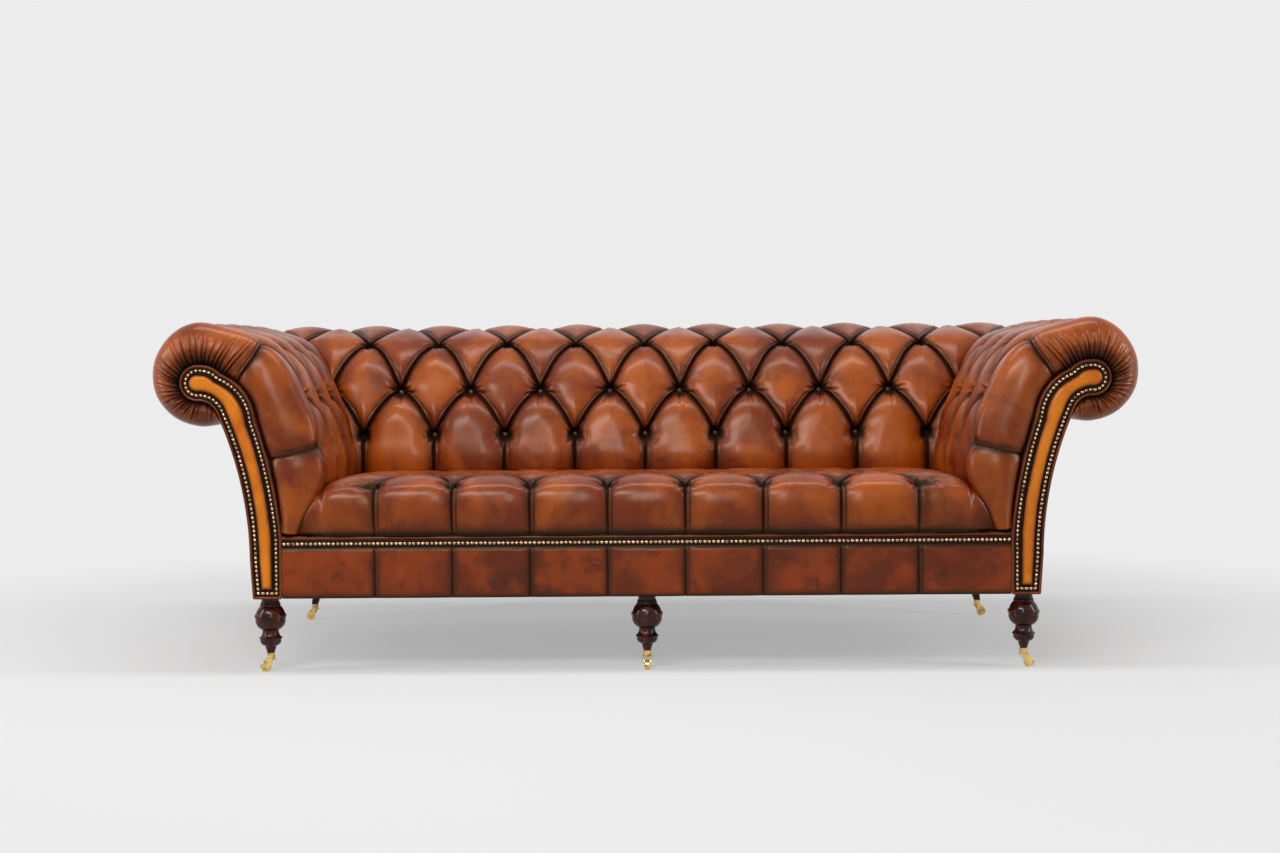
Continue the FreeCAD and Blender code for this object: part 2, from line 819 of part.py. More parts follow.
def arm_padding():
    """Right arm's padding with its wells, and its buttons."""
    angles = (BACK_OF_ROLL, -50, UNDER_ARM_ANGLE)
    under = on_roll(UNDER_ARM_ANGLE, size.roll_radius)
    turn_in = under.x + size.roll_tuck
    ends = [Vector(turn_in, 0, under.z + 2 * size.roll_tuck), Vector(turn_in, 0, top_rail_bottom)]
    hidden = inner_side(ends)
    front = board_front - size.pad_front_bulge
    # the front end is rounded by sections that shrink towards it: depth and shrinkage of each
    rounding = [(front, 30), (front + 5, 16), (board_front + 14, 12)]
    wires = [moved_section(section(hidden, angles, False, shrink), y) for y, shrink in rounding]
    buttons = []
    wells = []
    for y, whole_column in arm_columns():
        wires.append(moved_section(section(hidden, angles, whole_column), y))
        for point, direction in row_tufts(whole_column):
            spot = arm_point(point, y)
            if spot.x - roll_x > y - roll_y + size.button_radius * 2.5:
                button, well = tuft(spot, direction)
                buttons.append(button)
                wells.append(well)
    solid = Part.makeLoft(wires, True, True)
    solid = solid.cut(mitre_cutter(True))
    solid = solid.cut(prism(outline, front_y - size.roll_radius, board_front))
    solid = solid.cut(prism(board_outline, board_front, board_rear))
    solid = solid.cut(Part.makeCompound(wells)).removeSplitter()
    return solid, buttons


def across(shape):
    """The same piece for the other side of the sofa."""
    return shape.mirror(Vector(0, 0, 0), Vector(1, 0, 0))


def arms():
    solid, buttons = arm_padding()
    solid_feature("right_arm_upholstery", solid)
    solid_feature("left_arm_upholstery", across(solid))
    both = buttons + [across(button) for button in buttons]
    solid_feature("arm_buttons", Part.makeCompound(both))


def back_columns():
    """Place of each tuft column across the back, with whether it is a whole column."""
    columns = []
    last = int(2 * half_width // size.back_pitch) + 1
    for step in range(-last, last + 1):
        columns.append((step * size.back_pitch / 2, step % 2 == 0))
    return columns


def back_padding():
    end_reach = back_face - roll_y + size.soft_gap
    end_angle = -math.degrees(math.acos(end_reach / size.roll_radius))
    angles = (BACK_OF_ROLL, -25, end_angle)
    hidden = inner_side([Vector(end_reach, 0, upright_top)])
    wires = []
    buttons = []
    wells = []
    for x, whole_column in back_columns():
        wires.append(turned_section(section(hidden, angles, whole_column), x))
        for point, direction in row_tufts(whole_column):
            spot = Vector(x, roll_y + point.x, point.z)
            if point.x > abs(x) - roll_x + size.button_radius * 2.5:
                button, well = tuft(spot, Vector(0, direction.x, direction.z))
                buttons.append(button)
                wells.append(well)
    solid = Part.makeLoft(wires, True, True)
    cutter = mitre_cutter(False)
    solid = solid.cut(cutter).cut(across(cutter))
    solid = solid.cut(Part.makeCompound(wells)).removeSplitter()
    solid_feature("back_upholstery", solid)
    solid_feature("back_buttons", Part.makeCompound(buttons))


# Seat

seat_reach = roll_x - size.arm_lean
seat_rear = roll_y - size.arm_lean
seat_front = front_y
seat_row_1 = seat_front + 40


def seat_row(number):
    return seat_row_1 + (number - 1) * size.seat_row_pitch


SEAT_INWARD = [Vector(0, 0.55, 0), Vector(0, 0.62, -0.78)] + 3 * [Vector(0, 0, -1)]


def seat_crest(lower):
    """Crest points of the seat: front bulge, then the four rows of tufts."""
    top = size.seat_crown - lower
    return [Vector(0, seat_front, size.seat_bottom + (top - size.seat_bottom) * 0.42),
            Vector(0, seat_front + 18, top - 14),
            Vector(0, seat_row(2), top),
            Vector(0, seat_row(3), top - 4),
            Vector(0, seat_row(4), top - 12)]


def seat_corners(half_column, lower=0.0):
    """Corners of the seat's showing line; a lowered line at the seat's ends has no tufts."""
    sunk_numbers = (1, 3) if half_column else (2, 4)
    if lower:
        sunk_numbers = ()
    points = []
    for number, point in enumerate(seat_crest(lower)):
        sunk = size.seat_tuft_depth if number in sunk_numbers else 0
        if number == 0 and half_column:
            sunk = size.pleat_depth * 1.5
        points.append(point + SEAT_INWARD[number] * sunk)
    return points


def seat_section(x, half_column, lower=0.0):
    """One closed section of the seat, front to back."""
    corners = seat_corners(half_column, lower)
    crests = seat_crest(lower)
    foot = Vector(0, seat_front + size.seat_lip, size.seat_bottom)
    heel_reach = (size.seat_crown - lower - 14 - size.pad_bottom) / (size.seat_line - size.pad_bottom)
    heel = Vector(0, seat_rear + size.pad_tuck * (1 - heel_reach) - size.seat_side_gap,
                  size.seat_crown - lower - 14)
    toe = Vector(0, seat_rear + size.pad_tuck - size.seat_side_gap, size.seat_bottom)
    edges = [arc(foot, (foot + corners[0]) * 0.5 + Vector(0, -3, 0), corners[0])]
    for number in range(4):
        middle = (crests[number] + crests[number + 1]) * 0.5
        slope = SEAT_INWARD[number] + SEAT_INWARD[number + 1]
        lift = Vector(0, -5, 3) if number == 0 else Vector(0, 0, 2)
        middle_sunk = 0 if lower else MIDDLE_SHARE * size.seat_tuft_depth
        middle = middle + lift + slope * (0.5 * middle_sunk)
        edges.append(arc(corners[number], middle, corners[number + 1]))
    edges.append(line(corners[4], heel))
    edges.append(line(heel, toe))
    edges.append(line(toe, foot))
    wire = Part.Wire(edges)
    wire.translate(Vector(x, 0, 0))
    return wire


def seat_padding():
    half_count = int(seat_reach // (size.seat_pitch / 2))
    wires = []
    end = seat_reach - size.seat_side_gap
    slope = size.pad_tuck / (size.seat_line - size.pad_bottom)
    end_rise = size.seat_line - size.seat_bottom - 3
    foot_rise = 20
    ends = []
    for climb in (foot_rise, end_rise):
        top = size.seat_bottom + climb
        ends.append((end + slope * (size.seat_line - top), size.seat_crown - top))
    for x, lower in ends:
        wires.append(seat_section(-x, False, lower))
    for step in range(-half_count, half_count + 1):
        wires.append(seat_section(step * size.seat_pitch / 2, step % 2 == 1))
    for x, lower in reversed(ends):
        wires.append(seat_section(x, False, lower))
    buttons = []
    wells = []
    for step in range(-half_count, half_count + 1):
        half_column = step % 2 == 1
        corners = seat_corners(half_column)
        for number in ((1, 3) if half_column else (2, 4)):
            if abs(step) * size.seat_pitch / 2 > end - 3 * size.button_radius:
                continue
            spot = corners[number] + Vector(step * size.seat_pitch / 2, 0, 0)
            button, well = tuft(spot, Vector(SEAT_INWARD[number]).normalize())
            buttons.append(button)
            wells.append(well)
    solid = Part.makeLoft(wires, True, True)
    solid = solid.cut(Part.makeCompound(wells)).removeSplitter()
    solid_feature("seat_upholstery", solid)
    solid_feature("seat_buttons", Part.makeCompound(buttons))


# Facings, border and outside panels

def facings():
    """A nailed plate with a raised padded middle on the front of each arm."""
    for side in ("left", "right"):
        flip = mirrored_wire if side == "left" else (lambda wire: wire)
        body = doc.addObject("PartDesign::Body", side + "_arm_facing")
        plate = sketch_of(body, side + "_facing_plate", "XZ_Plane", [flip(plate_outline)])
        pad(body, plate, side + "_facing_plate_pad", "facing_plate")
        foot = sketch_of(body, side + "_facing_foot", "XZ_Plane", [flip(pad_outline)])
        foot.setExpression(".AttachmentOffset.Base.z", bound("facing_plate"))
        pad(body, foot, side + "_facing_raised_pad", "facing_pad - facing_pad_round")
        brim = sketch_of(body, side + "_facing_brim", "XZ_Plane", [flip(pad_outline)])
        brim.setExpression(".AttachmentOffset.Base.z",
                           bound("facing_plate + facing_pad - facing_pad_round"))
        crown_line = inset(pad_outline, size.facing_pad_round)
        crown = sketch_of(body, side + "_facing_crown", "XZ_Plane", [flip(crown_line)])
        crown.setExpression(".AttachmentOffset.Base.z", bound("facing_plate + facing_pad"))
        rounding = body.newObject("PartDesign::AdditiveLoft", side + "_facing_rounding")
        rounding.Profile = brim
        rounding.Sections = [crown]
        rounding.Ruled = True
        body.setExpression(".Placement.Base.y", bound("facing_back - sofa_depth / 2"))
        keep(body, side + "_arm_facing")


def facing_piping():
    """Leather piping round the edge of each facing."""
    ring = prism(outline, board_front - size.facing_plate - size.piping_proud, board_front)
    ring = ring.cut(prism(plate_outline, front_y - size.roll_radius, half_depth))
    solid_feature("facing_piping", Part.makeCompound([ring, across(ring)]))


def nail_head(point):
    """A domed brass head whose flat underside lies on the leather, facing front."""
    return domed(size.nail_radius, 0, size.nail_dome, point, Vector(0, -1, 0))


def nails():
    count = int(nail_line.Length // size.nail_pitch)
    spots = nail_line.discretize(Number=count + 1)[:-1]
    face = board_front - size.facing_plate
    heads = []
    for sign in (-1, 1):
        heads += [nail_head(Vector(sign * spot.x, face, spot.y)) for spot in spots]
    solid_feature("facing_nails", Part.makeCompound(heads))
    count = int(2 * (facing_inner - size.nail_pitch / 2) // size.nail_pitch)
    height = size.base_bottom + size.border_height - size.border_nail_drop
    face = board_front - size.border_thickness
    heads = []
    for step in range(count + 1):
        x = (step - count / 2) * size.nail_pitch
        heads.append(nail_head(Vector(x, face, height)))
    solid_feature("border_nails", Part.makeCompound(heads))


def front_border():
    inner = f"({FACING_INNER} - soft_gap)"
    panel = box("front_border",
                (f"-{inner}", "facing_back - border_thickness - sofa_depth / 2", "base_bottom"),
                (f"2 * {inner}", "border_thickness", "border_height"))
    keep(panel, "front_border")
    piping = doc.addObject("Part::Cylinder", "border_piping")
    piping.setExpression("Radius", bound("border_piping_radius"))
    piping.setExpression("Height", bound(f"2 * {inner}"))
    piping.Placement = FreeCAD.Placement(Vector(), Rotation(Vector(0, 1, 0), 90))
    piping.setExpression(".Placement.Base.x", bound(f"-{inner}"))
    piping.setExpression(".Placement.Base.y",
                         bound("facing_back - border_thickness / 2 - sofa_depth / 2"))
    piping.setExpression(".Placement.Base.z", bound("base_bottom + border_height + border_piping_radius"))
    keep(piping, "border_piping")


def outside_panels():
    """Leather on the outside of the arms, which follows the facing's outer edge."""
    top = on_roll(UNDER_ARM_ANGLE, size.roll_radius).z + size.outside_tuck
    slab = prism(outline, board_front, back_rail_rear).cut(prism(board_outline, front_y, half_depth))
    window = Part.makeBox(half_width, 2 * half_depth, top - size.base_bottom,
                          Vector(facing_outer - size.panel_thickness - 1, -half_depth, size.base_bottom))
    pieces = sorted(slab.common(window).Solids, key=lambda piece: piece.BoundBox.XMax)
    right = pieces[-1]
    solid_feature("right_outside_arm_panel", right)
    solid_feature("left_outside_arm_panel", across(right))


def outside_back():
    """Leather on the outside of the back, as wide as the outside arms."""
    roll_edge = math.acos((back_face - roll_y) / size.roll_radius)
    top = on_roll(-math.degrees(roll_edge), size.roll_radius).z - 2
    low = size.base_bottom
    rise_here = top - low
    thickness = back_face - back_rail_rear
    middle_reach = facing_inner + size.facing_width / 2
    window = Part.makeBox(half_width, 2 * half_depth, rise_here, Vector(facing_inner, -half_depth, low))
    end = prism(outline, back_rail_rear, back_face).common(window)
    middle = Part.makeBox(2 * middle_reach, thickness, rise_here, Vector(-middle_reach, back_rail_rear, low))
    lean_reach = end.BoundBox.XMax - size.outside_tuck
    corners = [(facing_inner, low), (middle_reach, low), (lean_reach, top), (facing_inner, top)]
    points = [Vector(x, back_rail_rear, z) for x, z in corners + corners[:1]]
    filler = Part.Face(Part.makePolygon(points)).extrude(Vector(0, thickness, 0))
    whole = middle.fuse([end, across(end), filler, across(filler)]).removeSplitter()
    solid_feature("outside_back_panel", whole)


def leg_spots():
    """Place of each leg: name, whether it is a front leg, top place and tip place."""
    front = -half_depth + size.leg_inset_y
    rear = half_depth - size.rear_leg_inset_y
    out = half_width - size.leg_inset_x
    rear_out = half_width - size.rear_leg_inset_x
    spots = []
    for name, sign in (("left", -1), ("centre", 0), ("right", 1)):
        spots.append((name + "_front", True, Vector(sign * out, front, 0), Vector(sign * out, front, 0)))
        top = Vector(sign * rear_out, rear, 0)
        tip = top + Vector(sign * size.rear_leg_splay, size.rear_leg_rake, 0)
        spots.append((name + "_rear", False, top, tip))
    return spots


def bottom_cloth():
    """Black cloth under the webbing, cut away round the legs."""
    low = rail_bottom - 2 * size.strap_thickness - size.cloth_thickness
    corner = Vector(-panel_inner, board_front, low)
    cloth = Part.makeBox(2 * panel_inner, back_rail_rear - board_front, size.cloth_thickness, corner)
    reach = size.rear_leg_top_side
    holes = []
    for name, is_front, top, tip in leg_spots():
        holes.append(Part.makeCylinder(reach, size.sofa_height, Vector(top.x, top.y, 0)))
    solid_feature("bottom_cloth", cloth.cut(Part.makeCompound(holes)))


# Legs

def front_legs():
    top = RAIL_BOTTOM
    bead_top = f"{top} - leg_neck_length"
    bulb_top = f"{bead_top} - 2 * leg_bead_length"
    bulb_mid = f"{bulb_top} - leg_bulb_length / 3"
    bulb_low = f"{bulb_top} - leg_bulb_length / 2"
    waist = f"{bulb_top} - leg_bulb_length"
    ring = f"{waist} - leg_reel_length"
    cup = f"{ring} - leg_ring_length"
    shaft = f"{cup} - leg_cup_length"
    groove = "leg_bulb_radius - leg_bulb_groove"
    profile = [
        ("0", top, 0), ("leg_neck_radius", top, 0), ("leg_neck_radius", bead_top, -2.5),
        ("leg_neck_radius", f"{bead_top} - leg_bead_length", -2.5), ("leg_bead_radius", bulb_top, -1.5),
        (f"{groove}", bulb_mid, 0), ("leg_bulb_radius", f"{bulb_mid} - 1", -0.8),
        ("leg_bulb_radius", f"{bulb_low} + 1", 0), (f"{groove}", bulb_low, -6),
        ("leg_waist_radius", waist, 3), ("leg_ring_radius", ring, -0.9),
        ("leg_cup_radius", cup, -4), ("leg_shaft_radius + 1", shaft, 0),
        ("leg_shaft_radius", f"{shaft} - 1", 0), ("leg_tip_radius", "castor_height", 0),
        ("0", "castor_height", 0),
    ]
    corners = [(radius, height) for radius, height, bulge in profile]
    bulges = [-bulge for radius, height, bulge in profile]
    for name, is_front, spot, tip in leg_spots():
        if is_front:
            leg = turned(name + "_leg", corners, bulges)
            place(leg, spot.x, spot.y)


def rear_legs():
    """Square legs that taper and rake back to their castors."""
    low = size.castor_height
    for name, is_front, top, tip in leg_spots():
        if is_front:
            continue
        wires = []
        ends = ((top, size.rear_leg_top_side, rail_bottom), (tip, size.rear_leg_tip_side, low))
        for centre, side, z in ends:
            half = side / 2
            ring = [Vector(centre.x + a * half, centre.y + b * half, z)
                    for a, b in ((-1, -1), (1, -1), (1, 1), (-1, 1), (-1, -1))]
            wires.append(Part.makePolygon(ring))
        leg = Part.makeLoft(wires, True, True)
        solid_feature(name + "_leg", leg)


# Castors

TRAIL_TURNS = {"left_front": 180, "centre_front": 270, "right_front": 0,
               "left_rear": 170, "centre_rear": 90, "right_rear": 10}


def castor_sockets():
    """Brass ferrules under the legs, each bored for its castor's pin."""
    low = size.castor_height - size.socket_height
    sockets = []
    for name, is_front, top, tip in leg_spots():
        spot = Vector(tip.x, tip.y, low)
        drum = Part.makeCylinder(size.socket_radius, size.socket_height, spot)
        bore = Part.makeCylinder(size.pin_radius + size.pin_clearance, size.pin_length, spot)
        sockets.append(drum.cut(bore))
    solid_feature("castor_sockets", Part.makeCompound(sockets))


def castor_horn():
    """Pin, plate and fork in one, with the wheel's riveted axle, trailing along X."""
    plate_top = size.castor_height - size.socket_height - size.plate_gap
    plate_low = plate_top - size.plate_thickness
    axle_z = size.wheel_radius
    cheek_in = size.wheel_width / 2 + size.wheel_side_gap
    cheek_out = cheek_in + size.fork_thickness
    pin = Part.makeCylinder(size.pin_radius, plate_top - plate_low + size.pin_length - size.plate_gap,
                            Vector(0, 0, plate_low))
    plate = Part.makeCylinder(size.plate_radius, size.plate_thickness, Vector(0, 0, plate_low))
    half = size.fork_width / 2
    trail = size.castor_trail
    cheeks = []
    for side in (-1, 1):
        y = cheek_in if side > 0 else -cheek_out
        a = Vector(-half, y, plate_low + 1)
        b = Vector(half + 2, y, plate_low + 1)
        c = Vector(trail + half, y, axle_z)
        d = Vector(trail - half, y, axle_z)
        low_middle = Vector(trail, y, axle_z - half)
        edges = [arc(a, Vector(0, y, (plate_low + axle_z) / 2), d), arc(d, low_middle, c),
                 arc(c, Vector(trail + 2, y, plate_low - 2), b), line(b, a)]
        cheek = Part.Face(Part.Wire(edges)).extrude(Vector(0, size.fork_thickness, 0))
        hole = Part.makeCylinder(size.axle_radius, 2 * cheek_out, Vector(trail, -cheek_out, axle_z),
                                 Vector(0, 1, 0))
        cheeks.append(cheek.cut(hole))
    fork = pin.fuse([plate] + cheeks)
    start = cheek_out + size.rivet_thickness
    along = Vector(0, 1, 0)
    axle = Part.makeCylinder(size.axle_radius, 2 * start, Vector(trail, -start, axle_z), along)
    rivets = []
    for y in (-start, cheek_out):
        spot = Vector(trail, y, axle_z)
        rivets.append(Part.makeCylinder(size.rivet_radius, size.rivet_thickness, spot, along))
    return fork.fuse([axle] + rivets).removeSplitter()


def castor_wheel():
    """A barrel wheel about its own axle along Y, at the trail's end."""
    half = size.wheel_width / 2
    rim = size.wheel_radius
    bore = size.axle_radius + size.axle_clearance
    edge = rim - 1.5
    shoulder = half - size.wheel_shoulder
    rounding = rim - 0.45
    turn = half - size.wheel_shoulder * 0.4
    centre = Vector(size.castor_trail, 0, size.wheel_radius)
    points = [(bore, -half), (edge, -half), (rounding, -turn), (rim, -shoulder),
              (rim, shoulder), (rounding, turn), (edge, half), (bore, half)]
    corners = [centre + Vector(r, y, 0) for r, y in points]
    edges = [line(corners[0], corners[1]), arc(*corners[1:4]), line(corners[3], corners[4]),
             arc(*corners[4:7]), line(corners[6], corners[7]), line(corners[7], corners[0])]
    return Part.Face(Part.Wire(edges)).revolve(centre, Vector(0, 1, 0), 360)


def castors():
    castor_sockets()
    horn = castor_horn()
    wheel = castor_wheel()
    for name, is_front, top, tip in leg_spots():
        for kind, shape in (("horn", horn), ("wheel", wheel)):
            piece = solid_feature(f"{name}_castor_{kind}", shape.copy())
            place(piece, tip.x, tip.y, 0, TRAIL_TURNS[name])


front_rail()
back_rail()
side_rails()
arm_top_rails()
back_top_rail()
arm_tack_rails()
back_tack_rail()
cross_rails()
corner_blocks()
scroll_boards()
rear_posts()
back_uprights()
seat_webbing()
seat_springs()
spring_canvas()
arm_webbing()
back_webbing()
arms()
back_padding()
seat_padding()
facings()
facing_piping()
nails()
front_border()
outside_panels()
outside_back()
bottom_cloth()
front_legs()
rear_legs()
castors()
doc.recompute()

# Check every object, then write one file for each sub-part
for thing in doc.Objects:
    if "Invalid" in thing.State or "Error" in thing.State:
        raise RuntimeError(f"{thing.Label} failed to build")
for thing in sub_parts:
    if thing.Shape.isNull() or not thing.Shape.isValid():
        raise RuntimeError(f"{thing.Label} has no valid shape")
for thing in sub_parts:
    thing.Shape.exportStep(os.path.join("parts", thing.Label + ".step"))
print(len(sub_parts), "sub-parts written")
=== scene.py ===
import bmesh
import bpy
import math
import numpy as np
from mathutils import Matrix, Vector
from mathutils.geometry import delaunay_2d_cdt


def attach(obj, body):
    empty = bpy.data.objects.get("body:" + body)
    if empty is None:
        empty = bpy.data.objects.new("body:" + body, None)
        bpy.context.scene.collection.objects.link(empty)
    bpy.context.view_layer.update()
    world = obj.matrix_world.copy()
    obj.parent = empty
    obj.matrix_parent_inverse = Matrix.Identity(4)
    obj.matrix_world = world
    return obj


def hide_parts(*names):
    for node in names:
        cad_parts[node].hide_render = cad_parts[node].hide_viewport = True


# Looks of the chesterfield sofa. The shapes are worked out in millimetres and stored in metres.
# X runs to the right as seen from the front, Y to the back, Z up.

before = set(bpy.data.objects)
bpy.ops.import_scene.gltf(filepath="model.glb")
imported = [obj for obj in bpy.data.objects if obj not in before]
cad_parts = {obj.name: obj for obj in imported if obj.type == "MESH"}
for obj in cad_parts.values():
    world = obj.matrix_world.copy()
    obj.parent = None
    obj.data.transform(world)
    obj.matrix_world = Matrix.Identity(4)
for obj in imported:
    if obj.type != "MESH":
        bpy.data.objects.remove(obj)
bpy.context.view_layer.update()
rng = np.random.default_rng(7)

MM = 0.001
QUARTER_TURN = math.pi / 2
WHITE = (1.0, 1.0, 1.0, 1.0)
SIDES = (("right", 1), ("left", -1))

# Axes of the rolls: ROLL_X for the arms, ROLL_Y for the back, ROLL_Z for the height of both
ROLL_X, ROLL_Y, ROLL_Z = 1058.0, 375.0, 719.0
ROLL_RADIUS = 125.0
# Front and rear of the boards that the facings are nailed to
BOARD_FRONT, BOARD_REAR = -472.0, -444.0

# The camera stands where the photograph was taken from; its angles are in degrees
LENS = 53.9
CAMERA_PLACE = (-0.014, -5.05, 0.770)
CAMERA_DOWN, CAMERA_ROLL = 2.27, -0.38
# Strength of the pale surroundings as they are seen, and as they light the sofa
BACKDROP, AMBIENT = 0.84, 0.13


def placed(name, data):
    """A new object of the scene for a mesh, a lamp or a camera."""
    thing = bpy.data.objects.new(name, data)
    bpy.context.scene.collection.objects.link(thing)
    return thing


def unit(x):
    """Values held between 0 and 1."""
    return np.clip(x, 0, 1)


def bell(x, width):
    """A rounded rise, 1 in its middle."""
    return np.exp(-(x / width) ** 2)


def stacked(*parts):
    """Coordinates set side by side, each given for all of the places or for less."""
    return np.stack(np.broadcast_arrays(*parts), axis=-1)


def toward(angle):
    """The direction of an angle in degrees."""
    return np.array([math.cos(math.radians(angle)), math.sin(math.radians(angle))])


# Camera and lights

def make_camera():
    """The camera of the photograph, looking along Y."""
    lens = bpy.data.cameras.new("photo_camera")
    lens.sensor_width = 36.0
    lens.lens = LENS
    camera = placed("photo_camera", lens)
    camera.matrix_world = (Matrix.Translation(CAMERA_PLACE)
                           @ Matrix.Rotation(math.radians(90 - CAMERA_DOWN), 4, "X")
                           @ Matrix.Rotation(math.radians(CAMERA_ROLL), 4, "Z"))
    bpy.context.scene.camera = camera


def make_lamp(name, place, target, width, height, power):
    """A rectangular softbox that faces a target; sizes in metres, power in watts."""
    light = bpy.data.lights.new(name, "AREA")
    light.shape = "RECTANGLE"
    light.size, light.size_y = width, height
    light.energy = power
    lamp = placed(name, light)
    lamp.location = place
    lamp.rotation_mode = "QUATERNION"
    lamp.rotation_quaternion = (Vector(target) - Vector(place)).to_track_quat("-Z", "Y")


# Small tools for node trees

def add(tree, kind, inputs=None, **settings):
    """A node with its settings and its inputs, each a value or a socket to link from."""
    made = tree.nodes.new("ShaderNode" + kind)
    for key, value in settings.items():
        setattr(made, key, value)
    for key, value in (inputs or {}).items():
        if isinstance(value, bpy.types.NodeSocket):
            tree.links.new(value, made.inputs[key])
        else:
            made.inputs[key].default_value = value
    return made


def maths(tree, operation, *values, clamp=False):
    return add(tree, "Math", dict(enumerate(values)), operation=operation, use_clamp=clamp).outputs[0]


def ramp(tree, value, low, high, start=0.0, end=1.0):
    """A value eased from one range to another."""
    ends = {"Value": value, "From Min": low, "From Max": high, "To Min": start, "To Max": end}
    return add(tree, "MapRange", ends, interpolation_type="SMOOTHSTEP").outputs["Result"]


def mixed(tree, share, first, second):
    """A colour between two colours."""
    return add(tree, "Mix", {0: share, 6: first, 7: second}, data_type="RGBA").outputs[2]


def noise(tree, where, scale, detail, rough, distortion=0.0):
    settings = {"Vector": where, "Scale": scale, "Detail": detail, "Roughness": rough, "Distortion": distortion}
    return add(tree, "TexNoise", settings).outputs["Fac"]


def seen_directly(tree):
    """1 where the camera looks, also by way of a reflection or through something clear, and 0 for light."""
    path = add(tree, "LightPath").outputs
    seen = maths(tree, "ADD", path["Is Camera Ray"], path["Is Glossy Ray"], clamp=True)
    return maths(tree, "ADD", seen, path["Is Transmission Ray"], clamp=True)


def new_group(name, inputs):
    """An empty node group with its inputs: the tree and the sockets that they give inside it."""
    tree = bpy.data.node_groups.new(name, "ShaderNodeTree")
    for label, value in inputs.items():
        kind = "NodeSocketColor" if value == WHITE else "NodeSocketFloat"
        socket = tree.interface.new_socket(name=label, in_out="INPUT", socket_type=kind)
        socket.default_value = value
    return tree, tree.nodes.new("NodeGroupInput").outputs


def close_group(tree, **results):
    """Give the group its outputs."""
    for label in results:
        kind = "NodeSocketColor" if label == "Color" else "NodeSocketFloat"
        tree.interface.new_socket(name=label, in_out="OUTPUT", socket_type=kind)
    out = tree.nodes.new("NodeGroupOutput")
    for label, value in results.items():
        tree.links.new(value, out.inputs[label])
    return tree


def object_space(tree, stretch=(1.0, 1.0, 1.0)):
    where = add(tree, "TexCoord").outputs["Object"]
    return add(tree, "Mapping", {"Vector": where, "Scale": stretch}).outputs["Vector"]


def aged_leather_group():
    """Hand-dyed leather: worn pale at random on the crowns, dark in the hollows and near black in the folds; the
    darkening is partly the dark wax of its antiqued finish and partly painted shade.
    """
    # near black of the folds: dark wax together with painted shade
    black = (0.010, 0.004, 0.0025, 1.0)
    tree, given = new_group("aged_leather", {"Crease": 0.0, "Hollow": 0.0, "Pale": WHITE, "Tan": WHITE,
                                             "Deep": WHITE, "Ageing": 0.5})
    where = object_space(tree)
    clouds = noise(tree, where, 5.5, 5.0, 0.62, 0.4)
    marbling = noise(tree, where, 11.0, 9.0, 0.64, 0.7)
    specks = noise(tree, where, 120.0, 4.0, 0.7)
    # pale at random where worn, but kept tan in the hollows by painted shade
    rub_wear_and_light = maths(tree, "SUBTRACT", ramp(tree, clouds, 0.34, 0.62), given["Hollow"], clamp=True)
    ground = mixed(tree, rub_wear_and_light, given["Tan"], given["Pale"])
    uneven = maths(tree, "MULTIPLY_ADD", marbling, 0.5, -0.25)
    # darkening in the hollows: partly dark wax, partly painted shade
    hollow_wax_and_shade = ramp(tree, maths(tree, "ADD", given["Hollow"], uneven), 0.14, 0.78)
    aged = maths(tree, "MULTIPLY", ramp(tree, marbling, 0.50, 0.74), given["Ageing"], clamp=True)
    dark = maths(tree, "MAXIMUM", hollow_wax_and_shade, aged)
    toned = mixed(tree, dark, ground, given["Deep"])
    flecked = mixed(tree, ramp(tree, specks, 0.60, 0.80, 0.0, 0.35), toned, given["Deep"])
    # near black along the folds: partly dark wax, partly painted shade
    fold_wax_and_shade = ramp(tree, maths(tree, "ADD", given["Crease"],
                              maths(tree, "MULTIPLY", uneven, 0.5)), 0.18, 0.72)
    color = mixed(tree, fold_wax_and_shade, flecked, black)
    pores = add(tree, "TexVoronoi", {"Vector": where, "Scale": 520.0, "Randomness": 1.0},
                feature="DISTANCE_TO_EDGE").outputs["Distance"]
    grain = ramp(tree, pores, 0.0, 0.16)
    creasing = noise(tree, object_space(tree, (1.0, 1.0, 0.45)), 75.0, 6.0, 0.62, 1.2)
    height = maths(tree, "ADD", maths(tree, "MULTIPLY", grain, 0.28), maths(tree, "MULTIPLY", creasing, 0.9))
    shine = maths(tree, "ADD", ramp(tree, marbling, 0.35, 0.7, 0.24, 0.36),
                  maths(tree, "MULTIPLY", given["Crease"], 0.30))
    # less coat where the folds and hollows are darkened
    covered = maths(tree, "MAXIMUM", fold_wax_and_shade, maths(tree, "MULTIPLY", hollow_wax_and_shade, 0.75))
    polish = maths(tree, "MULTIPLY", maths(tree, "SUBTRACT", 1.0, covered, clamp=True), 0.34)
    return close_group(tree, Color=color, Roughness=shine, Height=height, Polish=polish)


def wood_group():
    """Straight grain with darker pores, running up the piece."""
    tree, given = new_group("timber", {"Pale": WHITE, "Dark": WHITE, "Along X": 0.0})
    upright, lengthwise = (noise(tree, object_space(tree, stretch), 55.0, 6.0, 0.6, 0.6)
                           for stretch in ((1.0, 1.0, 0.07), (0.07, 1.0, 1.0)))
    grain = add(tree, "Mix", {0: given["Along X"], 2: upright, 3: lengthwise}).outputs[0]
    pores = noise(tree, object_space(tree, (1.0, 1.0, 0.05)), 420.0, 3.0, 0.6)
    color = mixed(tree, ramp(tree, grain, 0.35, 0.68), given["Dark"], given["Pale"])
    color = mixed(tree, ramp(tree, pores, 0.58, 0.72, 0.0, 0.6), color, given["Dark"])
    return close_group(tree, Color=color, Roughness=ramp(tree, grain, 0.3, 0.8, 0.20, 0.34),
                       Height=maths(tree, "MULTIPLY_ADD", grain, 0.5, pores))


